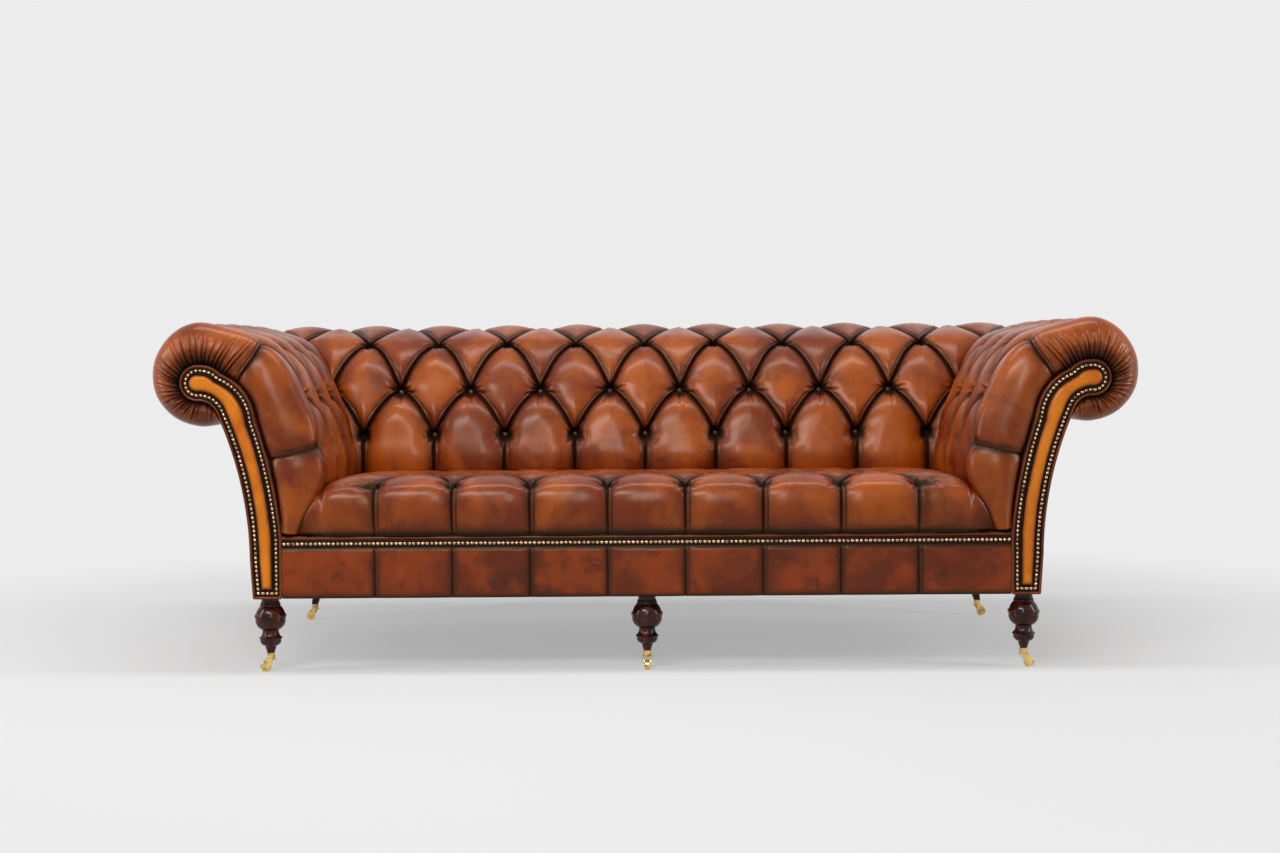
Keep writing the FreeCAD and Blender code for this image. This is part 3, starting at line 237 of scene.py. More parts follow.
def metal_group():
    """Metal with clouded tarnish and fine rubbing marks."""
    tree, given = new_group("worn_metal", {"Bright": WHITE, "Tarnish": WHITE, "Wear": 0.5})
    clouds = noise(tree, object_space(tree), 90.0, 5.0, 0.65, 0.5)
    rubbing = noise(tree, object_space(tree, (1.0, 1.0, 0.2)), 900.0, 3.0, 0.6)
    share = maths(tree, "MULTIPLY", ramp(tree, clouds, 0.42, 0.68), given["Wear"], clamp=True)
    dulled = maths(tree, "MULTIPLY_ADD", rubbing, 0.08, ramp(tree, clouds, 0.3, 0.75, 0.14, 0.34))
    return close_group(tree, Color=mixed(tree, share, given["Bright"], given["Tarnish"]), Roughness=dulled,
                       Height=rubbing)


def weave_group():
    """Plain weave: over and under threads, with slubs."""
    tree, given = new_group("plain_weave", {"Pale": WHITE, "Dark": WHITE, "Threads": 400.0})
    parts = add(tree, "SeparateXYZ", {"Vector": object_space(tree)}).outputs
    waves = []
    for axis in "XY":
        across = maths(tree, "MULTIPLY", maths(tree, "ADD", parts[axis], parts["Z"]), given["Threads"])
        waves.append(maths(tree, "SINE", across))
    slubs = noise(tree, object_space(tree), 160.0, 4.0, 0.7)
    tone = maths(tree, "MULTIPLY_ADD", maths(tree, "MULTIPLY", *waves), 0.25, slubs)
    return close_group(tree, Color=mixed(tree, ramp(tree, tone, 0.25, 0.8), given["Dark"], given["Pale"]),
                       Roughness=ramp(tree, slubs, 0.3, 0.7, 0.75, 0.95), Height=tone)


GROUPS = {"leather": aged_leather_group(), "wood": wood_group(), "metal": metal_group(), "weave": weave_group()}


WARM_SHEEN = (1.0, 0.62, 0.30, 1.0)


def finish_of(name, group, values, bump, distance, metallic=0.0, coat=0.0, coat_rough=0.1, specular=0.5,
              masks=False):
    """A material around one of the shared groups; with masks it reads the folds stored on the mesh."""
    material = bpy.data.materials.new(name)
    material.use_nodes = True
    tree = material.node_tree
    shader = tree.nodes["Principled BSDF"]
    given = {key: (*value, 1.0) if isinstance(value, tuple) else value for key, value in values.items()}
    look = add(tree, "Group", given, node_tree=GROUPS[group])
    for stored in ("crease", "hollow") if masks else ():
        mask = add(tree, "Attribute", attribute_name=stored)
        tree.links.new(mask.outputs["Fac"], look.inputs[stored.capitalize()])
    relief = add(tree, "Bump", {"Height": look.outputs["Height"], "Strength": bump, "Distance": distance})
    for result, key in ((look.outputs["Color"], "Base Color"), (look.outputs["Roughness"], "Roughness"),
                        (relief.outputs["Normal"], "Normal")):
        tree.links.new(result, shader.inputs[key])
    for key, value in (("Metallic", metallic), ("Coat Weight", coat), ("Coat Roughness", coat_rough),
                       ("Specular IOR Level", specular)):
        shader.inputs[key].default_value = value
    if "Polish" in look.outputs:
        tree.links.new(look.outputs["Polish"], shader.inputs["Coat Weight"])
        shader.inputs["Specular Tint"].default_value = WARM_SHEEN
    return material


# DEEP is the dark tone of random ageing and flecks, and of the painted shade in the hollows
AMBER, TAN, DEEP = (0.37, 0.072, 0.0045), (0.165, 0.019, 0.0015), (0.030, 0.005, 0.0015)


def leather(pale=AMBER, tan=TAN, ageing=0.5, masks=True):
    values = {"Pale": pale, "Tan": tan, "Deep": DEEP, "Ageing": ageing}
    return ("leather", values, 0.30, 0.0010), {"coat_rough": 0.23, "specular": 0.26, "masks": masks}


def metal(bright, tarnish, wear, bump=0.1):
    return ("metal", {"Bright": bright, "Tarnish": tarnish, "Wear": wear}, bump, 0.0002), {"metallic": 1.0}


def wood(pale, dark, along_x, bump, distance, **varnish):
    return ("wood", {"Pale": pale, "Dark": dark, "Along X": along_x}, bump, distance), varnish


def weave(pale, dark, threads, bump=0.6, distance=0.001):
    return ("weave", {"Pale": pale, "Dark": dark, "Threads": threads}, bump, distance), {}


LOOKS = {
    "tan_leather": leather(),
    # the buttons get near-black leather: painted shade of the deep holes they sit in
    "button_leather": leather((0.075, 0.014, 0.003), (0.035, 0.007, 0.002), 0.8),
    "facing_leather": leather((0.90, 0.27, 0.012), (0.66, 0.145, 0.006), 0.3),
    "piping_leather": leather((0.20, 0.040, 0.008), (0.085, 0.016, 0.004), 0.8, masks=False),
    "border_leather": leather((0.30, 0.042, 0.003), (0.115, 0.011, 0.001), 1.0),
    "outside_leather": leather((0.38, 0.078, 0.006), (0.21, 0.030, 0.003), 0.55, masks=False),
    "antique_brass": metal((0.60, 0.40, 0.26), (0.05, 0.025, 0.012), 0.9),
    "castor_brass": metal((0.86, 0.60, 0.22), (0.22, 0.11, 0.03), 0.8, bump=0.08),
    "spring_steel": metal((0.46, 0.40, 0.36), (0.16, 0.09, 0.06), 0.7),
    "mahogany": wood((0.095, 0.010, 0.004), (0.012, 0.002, 0.001), 0.0, 0.05, 0.0004,
                     coat=0.35, coat_rough=0.04, specular=0.1),
    "beech": wood((0.58, 0.40, 0.22), (0.36, 0.21, 0.10), 1.0, 0.2, 0.0006),
    "jute_webbing": weave((0.42, 0.30, 0.16), (0.16, 0.10, 0.05), 1900.0),
    "hessian": weave((0.46, 0.35, 0.21), (0.20, 0.13, 0.07), 2600.0),
    "black_cloth": weave((0.03, 0.03, 0.032), (0.008, 0.008, 0.009), 4200.0, 0.5, 0.0005),
}
FINISHES = {name: finish_of(name, *values, **settings) for name, (values, settings) in LOOKS.items()}


# Lines and grids

def smooth_line(points):
    """A smooth line through the given points, with 24 steps from each to the next."""
    p = np.array(points, float)
    p = np.vstack([2 * p[0] - p[1], p, 2 * p[-1] - p[-2]])
    f = np.linspace(0, 1, 24, endpoint=False)[:, None]
    pieces = []
    for a, b, c, d in zip(p, p[1:], p[2:], p[3:]):
        knots = np.cumsum([0] + [math.sqrt(np.linalg.norm(v)) for v in (b - a, c - b, d - c)])
        t = knots[1] + f * (knots[2] - knots[1])

        def between(start, end, i, j):
            return ((knots[j] - t) * start + (t - knots[i]) * end) / (knots[j] - knots[i])

        ab, bc, cd = between(a, b, 0, 1), between(b, c, 1, 2), between(c, d, 2, 3)
        pieces.append(between(between(ab, bc, 0, 2), between(bc, cd, 1, 3), 1, 2))
    pieces.append(p[-2:-1])
    return np.vstack(pieces)


class Line:
    """A line of points that can be read by the distance along it."""

    def __init__(self, points):
        self.points = np.array(points, float)
        steps = np.linalg.norm(np.diff(self.points, axis=0), axis=1)
        self.along = np.concatenate([[0], np.cumsum(steps)])
        self.length = self.along[-1]

    def at(self, s):
        return tuple(np.interp(s, self.along, part) for part in self.points.T)

    def nearest(self, point):
        return self.along[np.argmin(np.linalg.norm(self.points - np.array(point), axis=1))]


def graded(start, end, count, bunched=0.6):
    """Places between two ends, closer together near both."""
    f = np.linspace(0, 1, count + 1)
    f = bunched * 0.5 * (1 - np.cos(math.pi * f)) + (1 - bunched) * f
    return start + (end - start) * f


def ripple(a, b, wave):
    """A gentle unevenness over two coordinates, between about -1 and 1: seven waves of random directions."""
    total = np.zeros(np.broadcast(a, b).shape)
    for _ in range(7):
        turn, phase = rng.uniform(0, 2 * math.pi, 2)
        stretch = rng.uniform(0.6, 1.5) * 2 * math.pi / wave
        total += np.sin((a * math.cos(turn) + b * math.sin(turn)) * stretch + phase)
    return total / 7 * 1.6


def fall(x):
    """Share of a fold's depth that is left on the way up to the crown of a pillow."""
    x = unit(x)
    return 1 - np.sqrt(1 - (1 - x) ** 2)


def swept(f):
    """Share fallen from the upper button to the lower one: level at first, steep at the end."""
    return unit(f) ** 1.6


class Folds:
    """Folds and buttons of one tufted surface, in its own coordinates s (up) and t (along)."""

    # the darkening is partly dark wax and partly painted shade
    SHADE_REACH = 74    # how far the darkening spreads from a fold
    BUTTON_RUN = 26     # a fold rises from a button's depth to its own over this
    TUCK = 11           # the leather is tucked under along a second line, this far above the fold
    WRINKLED = 75       # nothing beyond this is drawn in by a button
    WRINKLE_HEIGHT = 2.5

    def __init__(self, button_depth):
        self.button_depth = button_depth
        self.folds = []
        self.buttons = []

    def fold(self, a, b, depth_a, depth_mid, depth_b, reach, lip=1.0):
        """A fold between two places; one that slants leaves its upper end level and drops to the lower."""
        high, low = (a, b) if a[0] > b[0] else (b, a)
        depth_high, depth_low = (depth_a, depth_b) if a[0] > b[0] else (depth_b, depth_a)
        count = 14 if abs(a[1] - b[1]) > 30 else 2
        f = np.linspace(0, 1, count)
        line_s = high[0] + (low[0] - high[0]) * (swept(f) if count > 2 else f)
        line_t = high[1] + (low[1] - high[1]) * f
        self.folds.append((line_s, line_t, depth_high, depth_mid, depth_low, reach, lip))

    def read(self, s, t):
        """Depth below the crowns, and at each place the crease and hollow masks that darken the leather, partly as
        dark wax and partly as painted shade.
        """
        total, crease, tuck, shade = (np.zeros(s.shape) for _ in range(4))
        for line_s, line_t, depth_a, depth_mid, depth_b, reach, lip in self.folds:
            near = ((t > line_t.min() - reach) & (t < line_t.max() + reach)
                    & (s > line_s.min() - reach) & (s < line_s.max() + reach))
            here_s, here_t = s[near][:, None], t[near][:, None]
            step_s, step_t = np.diff(line_s)[None, :], np.diff(line_t)[None, :]
            length = np.hypot(step_s, step_t)
            off_s, off_t = here_s - line_s[None, :-1], here_t - line_t[None, :-1]
            f = unit((off_s * step_s + off_t * step_t) / length ** 2)
            gaps = np.hypot(off_s - f * step_s, off_t - f * step_t)
            best = np.argmin(gaps, axis=1)
            rows = np.arange(len(best))
            gap = gaps[rows, best]
            along = np.concatenate([[0], np.cumsum(length[0])])[best] + f[rows, best] * length[0][best]
            whole = length.sum()
            cross = (off_s * step_t - off_t * step_s)[rows, best]
            upper = np.sign(cross * np.where(step_t[0][best] == 0, 1.0, np.sign(step_t[0][best])))
            signed = gap * upper
            depth = depth_mid + (depth_a - depth_mid) * np.exp(-along / self.BUTTON_RUN)
            depth += (depth_b - depth_mid) * np.exp(-(whole - along) / self.BUTTON_RUN)
            total[near] += (depth * fall(gap / reach)) ** 8
            strength = unit(depth / 14)
            # darkening spreading from the fold, and dark lines along it and along the tuck: dark wax and painted
            # shade
            shade[near] = np.maximum(shade[near], 0.92 * strength * fall(gap / self.SHADE_REACH))
            line = np.maximum(np.exp(-gap / 3.0), 0.9 * lip * np.exp(-np.abs(signed - self.TUCK) / 2.0))
            crease[near] = np.maximum(crease[near], line * strength)
            ridge = lip * strength * (3.4 * bell(signed - 6, 2.4) - 1.5 * bell(signed - self.TUCK, 1.6))
            tuck[near] = np.where(np.abs(ridge) > np.abs(tuck[near]), ridge, tuck[near])
        wrinkles = np.zeros(s.shape)
        for centre_s, centre_t in self.buttons:
            near = (np.abs(t - centre_t) < self.WRINKLED) & (np.abs(s - centre_s) < self.WRINKLED)
            off_s, off_t = s[near] - centre_s, t[near] - centre_t
            gap = np.hypot(off_s, off_t)
            total[near] += (self.button_depth * fall((gap - 8) / 46)) ** 8
            # darkening round the button and a dark line at its hole: dark wax and painted shade
            shade[near] = np.maximum(shade[near], fall((gap - 14) / 54))
            crease[near] = np.maximum(crease[near], np.exp(-np.clip(gap - 12, 0, None) / 8))
            turn = np.arctan2(off_t, off_s)
            count, phase = rng.integers(9, 14), rng.uniform(0, 6.28, 2)
            waves = np.cos(count * turn + phase[0]) + 0.7 * np.cos((count + 5) * turn + phase[1])
            wrinkles[near] += waves * bell(gap - 24, 15)
            # dark lines in the troughs of the wrinkles: painted shade
            crease[near] = np.maximum(crease[near], 0.7 * unit(waves) * bell(gap - 20, 12))
        depth = np.minimum(total ** (1 / 8), self.button_depth)
        return depth + self.WRINKLE_HEIGHT * wrinkles - tuck, crease, unit(shade)


def lattice(columns, rows, per_column, per_row, bunched=0.7):
    """Grid of s and t whose lines run along the folds.

    columns: places of the columns with the heights of the three slanting fold lines on each.
    rows: lowest and highest s. per_row: steps below, between and above the three fold lines.
    """
    knots = np.array([place for place, _ in columns])
    lines = np.array([heights for _, heights in columns])
    t = np.concatenate([graded(a, b, per_column, bunched)[:-1] for a, b in zip(knots, knots[1:])] + [knots[-1:]])
    here = np.clip(np.searchsorted(knots, t, side="right") - 1, 0, len(knots) - 2)
    f = (t - knots[here]) / (knots[here + 1] - knots[here])
    bounds = [np.full(t.shape, rows[0])]
    for k in range(3):
        a, b = lines[here, k], lines[here + 1, k]
        bounds.append(np.where(a >= b, a + (b - a) * swept(f), b + (a - b) * swept(1 - f)))
    bounds.append(np.full(t.shape, rows[1]))
    stacks = []
    for low, high, count in zip(bounds, bounds[1:], per_row):
        f = graded(0.0, 1.0, count, bunched)[:-1]
        stacks.append(low[:, None] + (high - low)[:, None] * f[None, :])
    stacks.append(bounds[-1][:, None])
    s = np.hstack(stacks)
    return s, np.repeat(t[:, None], s.shape[1], axis=1)


WELD = 0.00025


def mesh_piece(name, points, faces, masks):
    """A piece from points in millimetres; masks are values stored on its points."""
    mesh = bpy.data.meshes.new(name)
    mesh.from_pydata((points * MM).tolist(), [], faces)
    for label, values in masks.items():
        stored = mesh.attributes.new(label, "FLOAT", "POINT")
        stored.data.foreach_set("value", unit(values).astype(np.float32).ravel())
    return placed(name, mesh)


def tube_mesh(name, rings, masks, mirror=False):
    """A piece whose surface runs through closed rings of points."""
    count, around = rings.shape[:2]
    i = np.arange(count - 1)[:, None]
    j = np.arange(around)[None, :]
    k = (j + 1) % around
    faces = stacked(i * around + j, (i + 1) * around + j, (i + 1) * around + k, i * around + k)
    faces, points = faces.reshape(-1, 4), rings.reshape(-1, 3)
    if mirror:
        faces, points = faces[:, ::-1], points * (-1, 1, 1)
    return mesh_piece(name, points, faces.tolist(), masks)


def padded_mesh(name, shown, sides, crease, hollow, mirror=False):
    """A mesh of a shown face and its unseen sides; the masks are those of the shown face."""
    blank = np.zeros(sides.shape[:2])
    masks = {"crease": np.hstack([crease, blank]), "hollow": np.hstack([hollow, blank])}
    return tube_mesh(name, np.concatenate([shown, sides], axis=1), masks, mirror)


def close_up(made):
    """Fill the open rims, split the largest faces and turn them all outwards."""
    rims = [edge for edge in made.edges if edge.is_boundary]
    if rims:
        bmesh.ops.edgenet_fill(made, edges=rims)
    bmesh.ops.triangulate(made, faces=[face for face in made.faces if len(face.verts) > 4])
    bmesh.ops.recalc_face_normals(made, faces=made.faces)


def trim(piece, planes=()):
    """Weld a mesh, cut off what lies beyond each plane, and close its open ends."""
    made = bmesh.new()
    made.from_mesh(piece.data)
    bmesh.ops.remove_doubles(made, verts=made.verts, dist=WELD)
    for place, normal in planes:
        everything = made.verts[:] + made.edges[:] + made.faces[:]
        bmesh.ops.bisect_plane(made, geom=everything, dist=1e-6, plane_co=place, plane_no=normal, clear_outer=True)
    close_up(made)
    for face in made.faces:
        face.smooth = True
    made.to_mesh(piece.data)
    made.free()


def dress(piece, finish, body="root", replaces=()):
    """Give a piece its finish and its body, and hide the nodes that it stands for."""
    piece.data.materials.append(FINISHES[finish])
    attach(piece, body)
    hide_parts(*replaces)


# The padded roll and lean that the arms and the back share: reach outwards from the roll's centre, and height

def on_roll(angle):
    return (0.0, ROLL_Z) + ROLL_RADIUS * toward(angle)


ROW_POINTS = {3: (-279.3, 545.0), 2: (-235.1, 666.9), 1: (-144.3, 799.0), 0: (22.0, 844.0)}
LEAN_POINTS = [(-227, 335), (-262, 390), (-285, 445), (-290.7, 494), ROW_POINTS[3], (-263.6, 609.4), ROW_POINTS[2],
               (-198, 742), ROW_POINTS[1], (-62, 830), ROW_POINTS[0]]
LEAN_INWARD = [(1, 0)] * 5 + [(1, -0.07), (0.98, -0.143), (0.95, -0.3), (0.875, -0.485), (0.4, -0.9),
                              (-0.174, -0.985)]
ROLL_ANGLES = [50, 15, -20, -55, -85, -110.8]
BACK_ANGLES = [50, 15, -20, -45, -63.7]
HIDDEN = [(-18, 615), (-18, 740), (-77.8, 740), (-77.8, 640), (-151.8, 385), (-151.8, 335)]


def profile_of(points, inward, rows):
    """A smooth profile, the directions in which its padding sinks, and where its rows of buttons lie on it."""
    profile = Line(smooth_line(points))
    directions = np.array(inward, float)
    directions /= np.linalg.norm(directions, axis=1)[:, None]
    stations = [profile.nearest(point) for point in points]
    return profile, (stations, directions), {row: profile.nearest(point) for row, point in rows.items()}


def roll_profile(angles):
    return profile_of(LEAN_POINTS + [on_roll(angle) for angle in angles],
                      LEAN_INWARD + [-toward(angle) for angle in angles], ROW_POINTS)


def inward_at(inward, s):
    stations, directions = inward
    u, z = (np.interp(s, stations, part) for part in directions.T)
    size = np.hypot(u, z)
    return u / size, z / size


def hidden_line(profile, count):
    """The unseen side of the padding, from the end of the roll back to the foot of the lean."""
    end = tuple(profile.points[-1])
    turn = [(end[0] + 10 if end[0] < 0 else end[0], max(end[1] + 14, 622))]
    line = Line([end] + turn + HIDDEN + [tuple(profile.points[0])])
    return stacked(*line.at(np.linspace(0, line.length, count + 2)[1:-1]))


TUFT_DEPTH = 52.0
FOLD_DEPTH = 25.0
PILLOW_REACH = 70.0
MITRE_DEPTH = 34.0
MITRE_REACH = 66.0
MITRE_GAP = 0.2
BUTTON_MARGIN = 26.0


BUTTON_ROWS = {True: (3, 1), False: (2, 0)}    # on a whole column and on one between


def tufting(columns, rows, end):
    """Folds of an arm or the back, for columns given as (place, is a whole column)."""
    folds = Folds(TUFT_DEPTH)
    for place, whole in columns:
        folds.buttons += [(rows[row], place) for row in BUTTON_ROWS[whole]]
        if whole:
            folds.fold((0.0, place), (rows[3], place), 22, 22, TUFT_DEPTH, PILLOW_REACH)
        else:
            folds.fold((rows[0], place), (end, place), TUFT_DEPTH, 9, 6, 34, 0.6)
    for (place, whole), (after, _) in zip(columns, columns[1:]):
        left, right = (place, after) if whole else (after, place)
        for first, second in ((3, 2), (1, 2), (1, 0)):
            folds.fold((rows[first], left), (rows[second], right), TUFT_DEPTH, FOLD_DEPTH, TUFT_DEPTH, PILLOW_REACH)
    return folds


def line_heights(whole, rows):
    """Heights of the three slanting fold lines on a column."""
    return (rows[3], rows[1], rows[1]) if whole else (rows[2], rows[2], rows[0])


def with_mitre(depth, crease, hollow, short):
    """Add the deep fold where an arm meets the back, with painted shade in it; short is how far each crown stops
    before the mitre.

    Sunk to its bottom the padding meets the mitre MITRE_DEPTH further along.
    """
    gap = (short + MITRE_DEPTH) / math.sqrt(2)
    share = fall(gap / MITRE_REACH)
    depth = (np.clip(depth, 0, None) ** 6 + (MITRE_DEPTH * share) ** 6) ** (1 / 6)
    # near black line and darkening along the mitre: painted shade of the deep fold
    crease = np.maximum(crease, np.exp(-np.clip(gap, 0, None) / 3))
    hollow = np.maximum(hollow, 0.95 * share)
    return depth, crease, hollow


def mitre_plane(side, keeps_back):
    """The upright plane at 45 degrees where an arm meets the back; what lies beyond it is cut off."""
    turn = 1 if keeps_back else -1
    corner = Vector((side * (ROLL_X - turn * MITRE_GAP) * MM, ROLL_Y * MM, 0))
    return corner, Vector((turn * side, -turn, 0)).normalized()


def sunk_buttons(columns, rows, inward, axis, mitre):
    """Place and direction of each button that the mitre leaves; the axis is 0 for an arm, 1 for the back."""
    for place, whole in columns:
        for row in BUTTON_ROWS[whole]:
            reach, height = ROW_POINTS[row]
            if reach > mitre(place) + BUTTON_MARGIN:
                u, z = inward_at(inward, rows[row])
                spot = np.array([place, place, height + z * TUFT_DEPTH])
                spot[axis] = (ROLL_X, ROLL_Y)[axis] + (reach + u * TUFT_DEPTH)
                direction = np.array([0, 0, -z])
                direction[axis] = -u
                yield spot, direction


def back_padding():
    """The padded back. Gives its buttons' places and directions."""
    profile, inward, rows = roll_profile(BACK_ANGLES)
    columns = [(95.0 * k, k % 2 == 0) for k in range(-13, 14)]
    folds = tufting(columns, rows, profile.length)
    knots = [(place, line_heights(whole, rows)) for place, whole in columns]
    s, t = lattice(knots, (0.0, profile.length), 24, (30, 34, 34, 60))
    depth, crease, hollow = folds.read(s, t)
    u, z = profile.at(s)
    depth, crease, hollow = with_mitre(depth, crease, hollow, ROLL_X + u - np.abs(t))
    depth = depth + 1.6 * ripple(s, t, 210)
    inner_u, inner_z = inward_at(inward, s)
    shown = stacked(t, ROLL_Y + u + inner_u * depth, z + inner_z * depth)
    unseen = hidden_line(profile, 26)
    sides = stacked(t[:, :1], ROLL_Y + unseen[:, 0], unseen[:, 1])
    piece = padded_mesh("back_padding", shown, sides, crease, hollow)
    trim(piece, [mitre_plane(-1, True), mitre_plane(1, True)])
    dress(piece, "tan_leather", replaces=("back_upholstery",))
    spots = list(sunk_buttons(columns, rows, inward, 1, lambda place: abs(place) - ROLL_X))
    for row in (1, 2):
        reach, height = ROW_POINTS[row]
        for sign in (-1, 1):
            corner = np.array([sign * (ROLL_X + reach + 30), ROLL_Y + reach + 30, height - 12])
            spots.append((corner, np.array([-sign * 0.66, -0.66, 0.35])))
    return spots


# Arms

ARM_COLUMNS = [(-410.0 + 82.5 * k, k % 2 == 0) for k in range(12)]
# The padding turns over the front of the arm from WRAP_START on and ends at the facing's edge
WRAP_START = -440.0
WRAP_LENGTH = 110.0
WRAP_BULGE, WRAP_RETURN = 62.0, 26.0
GATHER_HEIGHT = 6.4
FACING_FOOT = (943.0, 181.0)
HEAD_X, HEAD_Z, HEAD_RADIUS = ROLL_X + 10, ROLL_Z - 20, 43.5


def facing_outline():
    """Outline of the right facing from its lower inner corner, up the inside, round the head and down."""

    def spot(reach, climb):
        return np.array([FACING_FOOT[0] + reach, FACING_FOOT[1] + (HEAD_Z - FACING_FOOT[1]) * climb])

    def bulged(a, b, bulge, count):
        f = np.linspace(0, 1, count)[:, None]
        along = (b - a) / np.linalg.norm(b - a)
        left = np.array([-along[1], along[0]])
        return a + (b - a) * f + left * bulge * 4 * f * (1 - f)

    def head(angle):
        return (HEAD_X, HEAD_Z) + HEAD_RADIUS * toward(angle)

    inner = [spot(-70, 0), spot(-70, 0.285), spot(-12, 0.823), spot(70, 1.043), head(97)]
    outer = [head(-98), spot(79, 0.853), spot(6, 0.185), spot(0, 0)]
    arc = np.array([head(angle) for angle in np.linspace(97, -98, 40)])
    pieces = [*map(bulged, inner, inner[1:], (0, 9, 20, 6), (26, 26, 26, 8)), arc,
              *map(bulged, outer, outer[1:], (-8, -18, 0), (8, 26, 26))]
    return np.vstack([piece[:-1] for piece in pieces] + [pieces[-1][-1:]])


OUTLINE = facing_outline()


def facing_edge(profile):
    """Where each place of the arm's profile ends on the edge of the facing: reach and height."""
    edge = Line(OUTLINE - np.array([ROLL_X, 0.0]))
    pairs = [((-227, 335), (-185, 335)), ((-285, 445), (-183, 440)), ((-279.3, 545), (-160, 530)),
             ((-235.1, 666.9), (-119, 625)), ((-144.3, 799), (-62, 712)), ((-62, 830), (-20, 738)),
             ((22, 844), (12, 742.4)), (on_roll(50), (42, 728)), (on_roll(15), (53, 703)),
             (on_roll(-20), (47, 678)), (on_roll(-55), (27, 659)), (on_roll(-85), (0, 655)),
             (on_roll(-110.8), (-32, 628))]
    own, ends = zip(*[(profile.nearest(mine), edge.nearest(its)) for mine, its in pairs])
    return lambda s: edge.at(np.interp(s, own, ends))


def arm_gathers(s, v, top, length):
    """Gathers that run out from the facing's edge, most of them round the head: relief and painted shade along their
    creases.
    """
    relief, dark = np.zeros(s.shape), np.zeros(s.shape)
    here = top - 175.0
    while here < length - 8:
        here += rng.uniform(13, 25)
        strength, reach, slant = rng.uniform(0.55, 1.0), rng.uniform(0.40, 0.85), rng.uniform(-16, 16)
        fade = unit((v - (1 - reach)) / reach) ** 0.6 * strength
        off = np.abs(s - here - slant * (1 - v))
        relief += fade * (0.55 * bell(off - 6.5, 4.0) - bell(off, 2.6))
        # painted shade along each gather's crease
        dark = np.maximum(dark, fade * np.exp(-off / 2.2))
    return relief, dark


def arm_padding():
    """The padding of both arms. Gives their buttons' places and directions."""
    profile, inward, rows = roll_profile(ROLL_ANGLES)
    folds = tufting(ARM_COLUMNS, rows, profile.length)
    front, first = WRAP_START - WRAP_LENGTH, ARM_COLUMNS[0][0]
    low_end, high_end = rows[3] - 18, rows[1] - 34
    folds.fold((low_end, front), (rows[3], first), 10, 13, TUFT_DEPTH, 48)
    folds.fold((high_end, front), (rows[1], first), 10, 13, TUFT_DEPTH, 48)
    ends = list(zip((low_end, high_end, high_end), line_heights(True, rows)))
    knots = [(place, tuple(np.interp(place, [front, first], pair) for pair in ends))
             for place in (front, front + 45, WRAP_START)]
    knots += [(place, line_heights(whole, rows)) for place, whole in ARM_COLUMNS]
    s, t = lattice(knots, (0.0, profile.length), 18, (26, 40, 30, 340), 0.5)
    depth, crease, hollow = folds.read(s, t)
    u, z = profile.at(s)
    depth, crease, hollow = with_mitre(depth, crease, hollow, ROLL_Y + u - t)
    depth = depth + 1.4 * ripple(s, t, 190)
    v = unit((WRAP_START - t) / WRAP_LENGTH)
    gathers, dark = arm_gathers(s, v, rows[0], profile.length)

    # along the arm the folds sink inwards; round its front they sink backwards
    inner_u, inner_z = inward_at(inward, s)
    side_depth = depth * (1 - v)
    full_u, full_z = u + inner_u * side_depth, z + inner_z * side_depth
    at_facing = facing_edge(profile)
    edge_u, edge_z = at_facing(s)
    share = 1 - np.cos(v * QUARTER_TURN)
    swell = np.sin(v * QUARTER_TURN) ** 0.75
    y = np.where(v > 0, WRAP_START - WRAP_BULGE * swell + WRAP_RETURN * unit((v - 0.70) / 0.30) ** 2, t)
    y = y + v * depth - GATHER_HEIGHT * gathers * np.sin(math.pi * np.clip(v, 0, 0.75) / 1.5)
    shown = stacked(ROLL_X + full_u + (edge_u - full_u) * share, y, full_z + (edge_z - full_z) * share)

    # dark line and darkening where the padding turns in to the facing's edge, wider round the head: painted shade
    from_edge = (1 - v) * WRAP_LENGTH
    round_head = unit((s - rows[1]) / 60)
    crease = np.maximum(np.maximum(crease, dark), np.exp(-from_edge / (4 + 6 * round_head)))
    hollow = np.maximum(hollow, 0.95 * np.exp(-from_edge / (8 + 18 * round_head)))

    behind = hidden_line(profile, 30)
    beside = stacked(*at_facing(np.linspace(profile.length, 0, 32)[1:-1]))
    wrapped = v[:, :1, None]
    unseen = np.where(wrapped == 0, behind, beside)
    set_back = np.where(wrapped[:, :, 0] == 0, t[:, :1], BOARD_REAR - 32 * wrapped[:, :, 0])
    sides = stacked(ROLL_X + unseen[..., 0], set_back, unseen[..., 1])
    for side, sign in SIDES:
        piece = padded_mesh(side + "_arm_padding", shown, sides, crease, hollow, mirror=sign < 0)
        trim(piece, [mitre_plane(sign, False)])
        dress(piece, "tan_leather", replaces=(side + "_arm_upholstery",))
    spots = list(sunk_buttons(ARM_COLUMNS, rows, inward, 0, lambda place: place - ROLL_Y))
    flip = (-1, 1, 1)
    return spots + [(spot * flip, direction * flip) for spot, direction in spots]


# Seat

SEAT_ROWS = {1: (-468.0, 461.5), 2: (-320.0, 469.0), 3: (-180.0, 465.0), 4: (-40.0, 457.0)}
SEAT_POINTS = [(-486, 330), (-498, 358), (-503, 392), (-499, 428), (-487, 450), SEAT_ROWS[1], (-440, 470),
               (-385, 474), SEAT_ROWS[2], (-250, 471), SEAT_ROWS[3], (-110, 464), SEAT_ROWS[4], (30, 456), (84, 452)]
SEAT_INWARD = [(1, 0), (1, 0), (1, -0.05), (0.9, -0.3), (0.7, -0.7), (0.42, -0.9), (0.2, -1)] + [(0, -1)] * 8
SEAT_PITCH = 93.0
SEAT_DEPTH = 38.0
SEAT_FOLD = 18.0
SEAT_HALF = 800.0        # half the width of the grid, before its ends are turned down
SEAT_ROUNDING = 655.0    # where that begins
LAST_FOLD, LAST_BUTTON = 740.0, 700.0
SEAT_FOOT, SEAT_HEIGHT = 331.0, 140.0


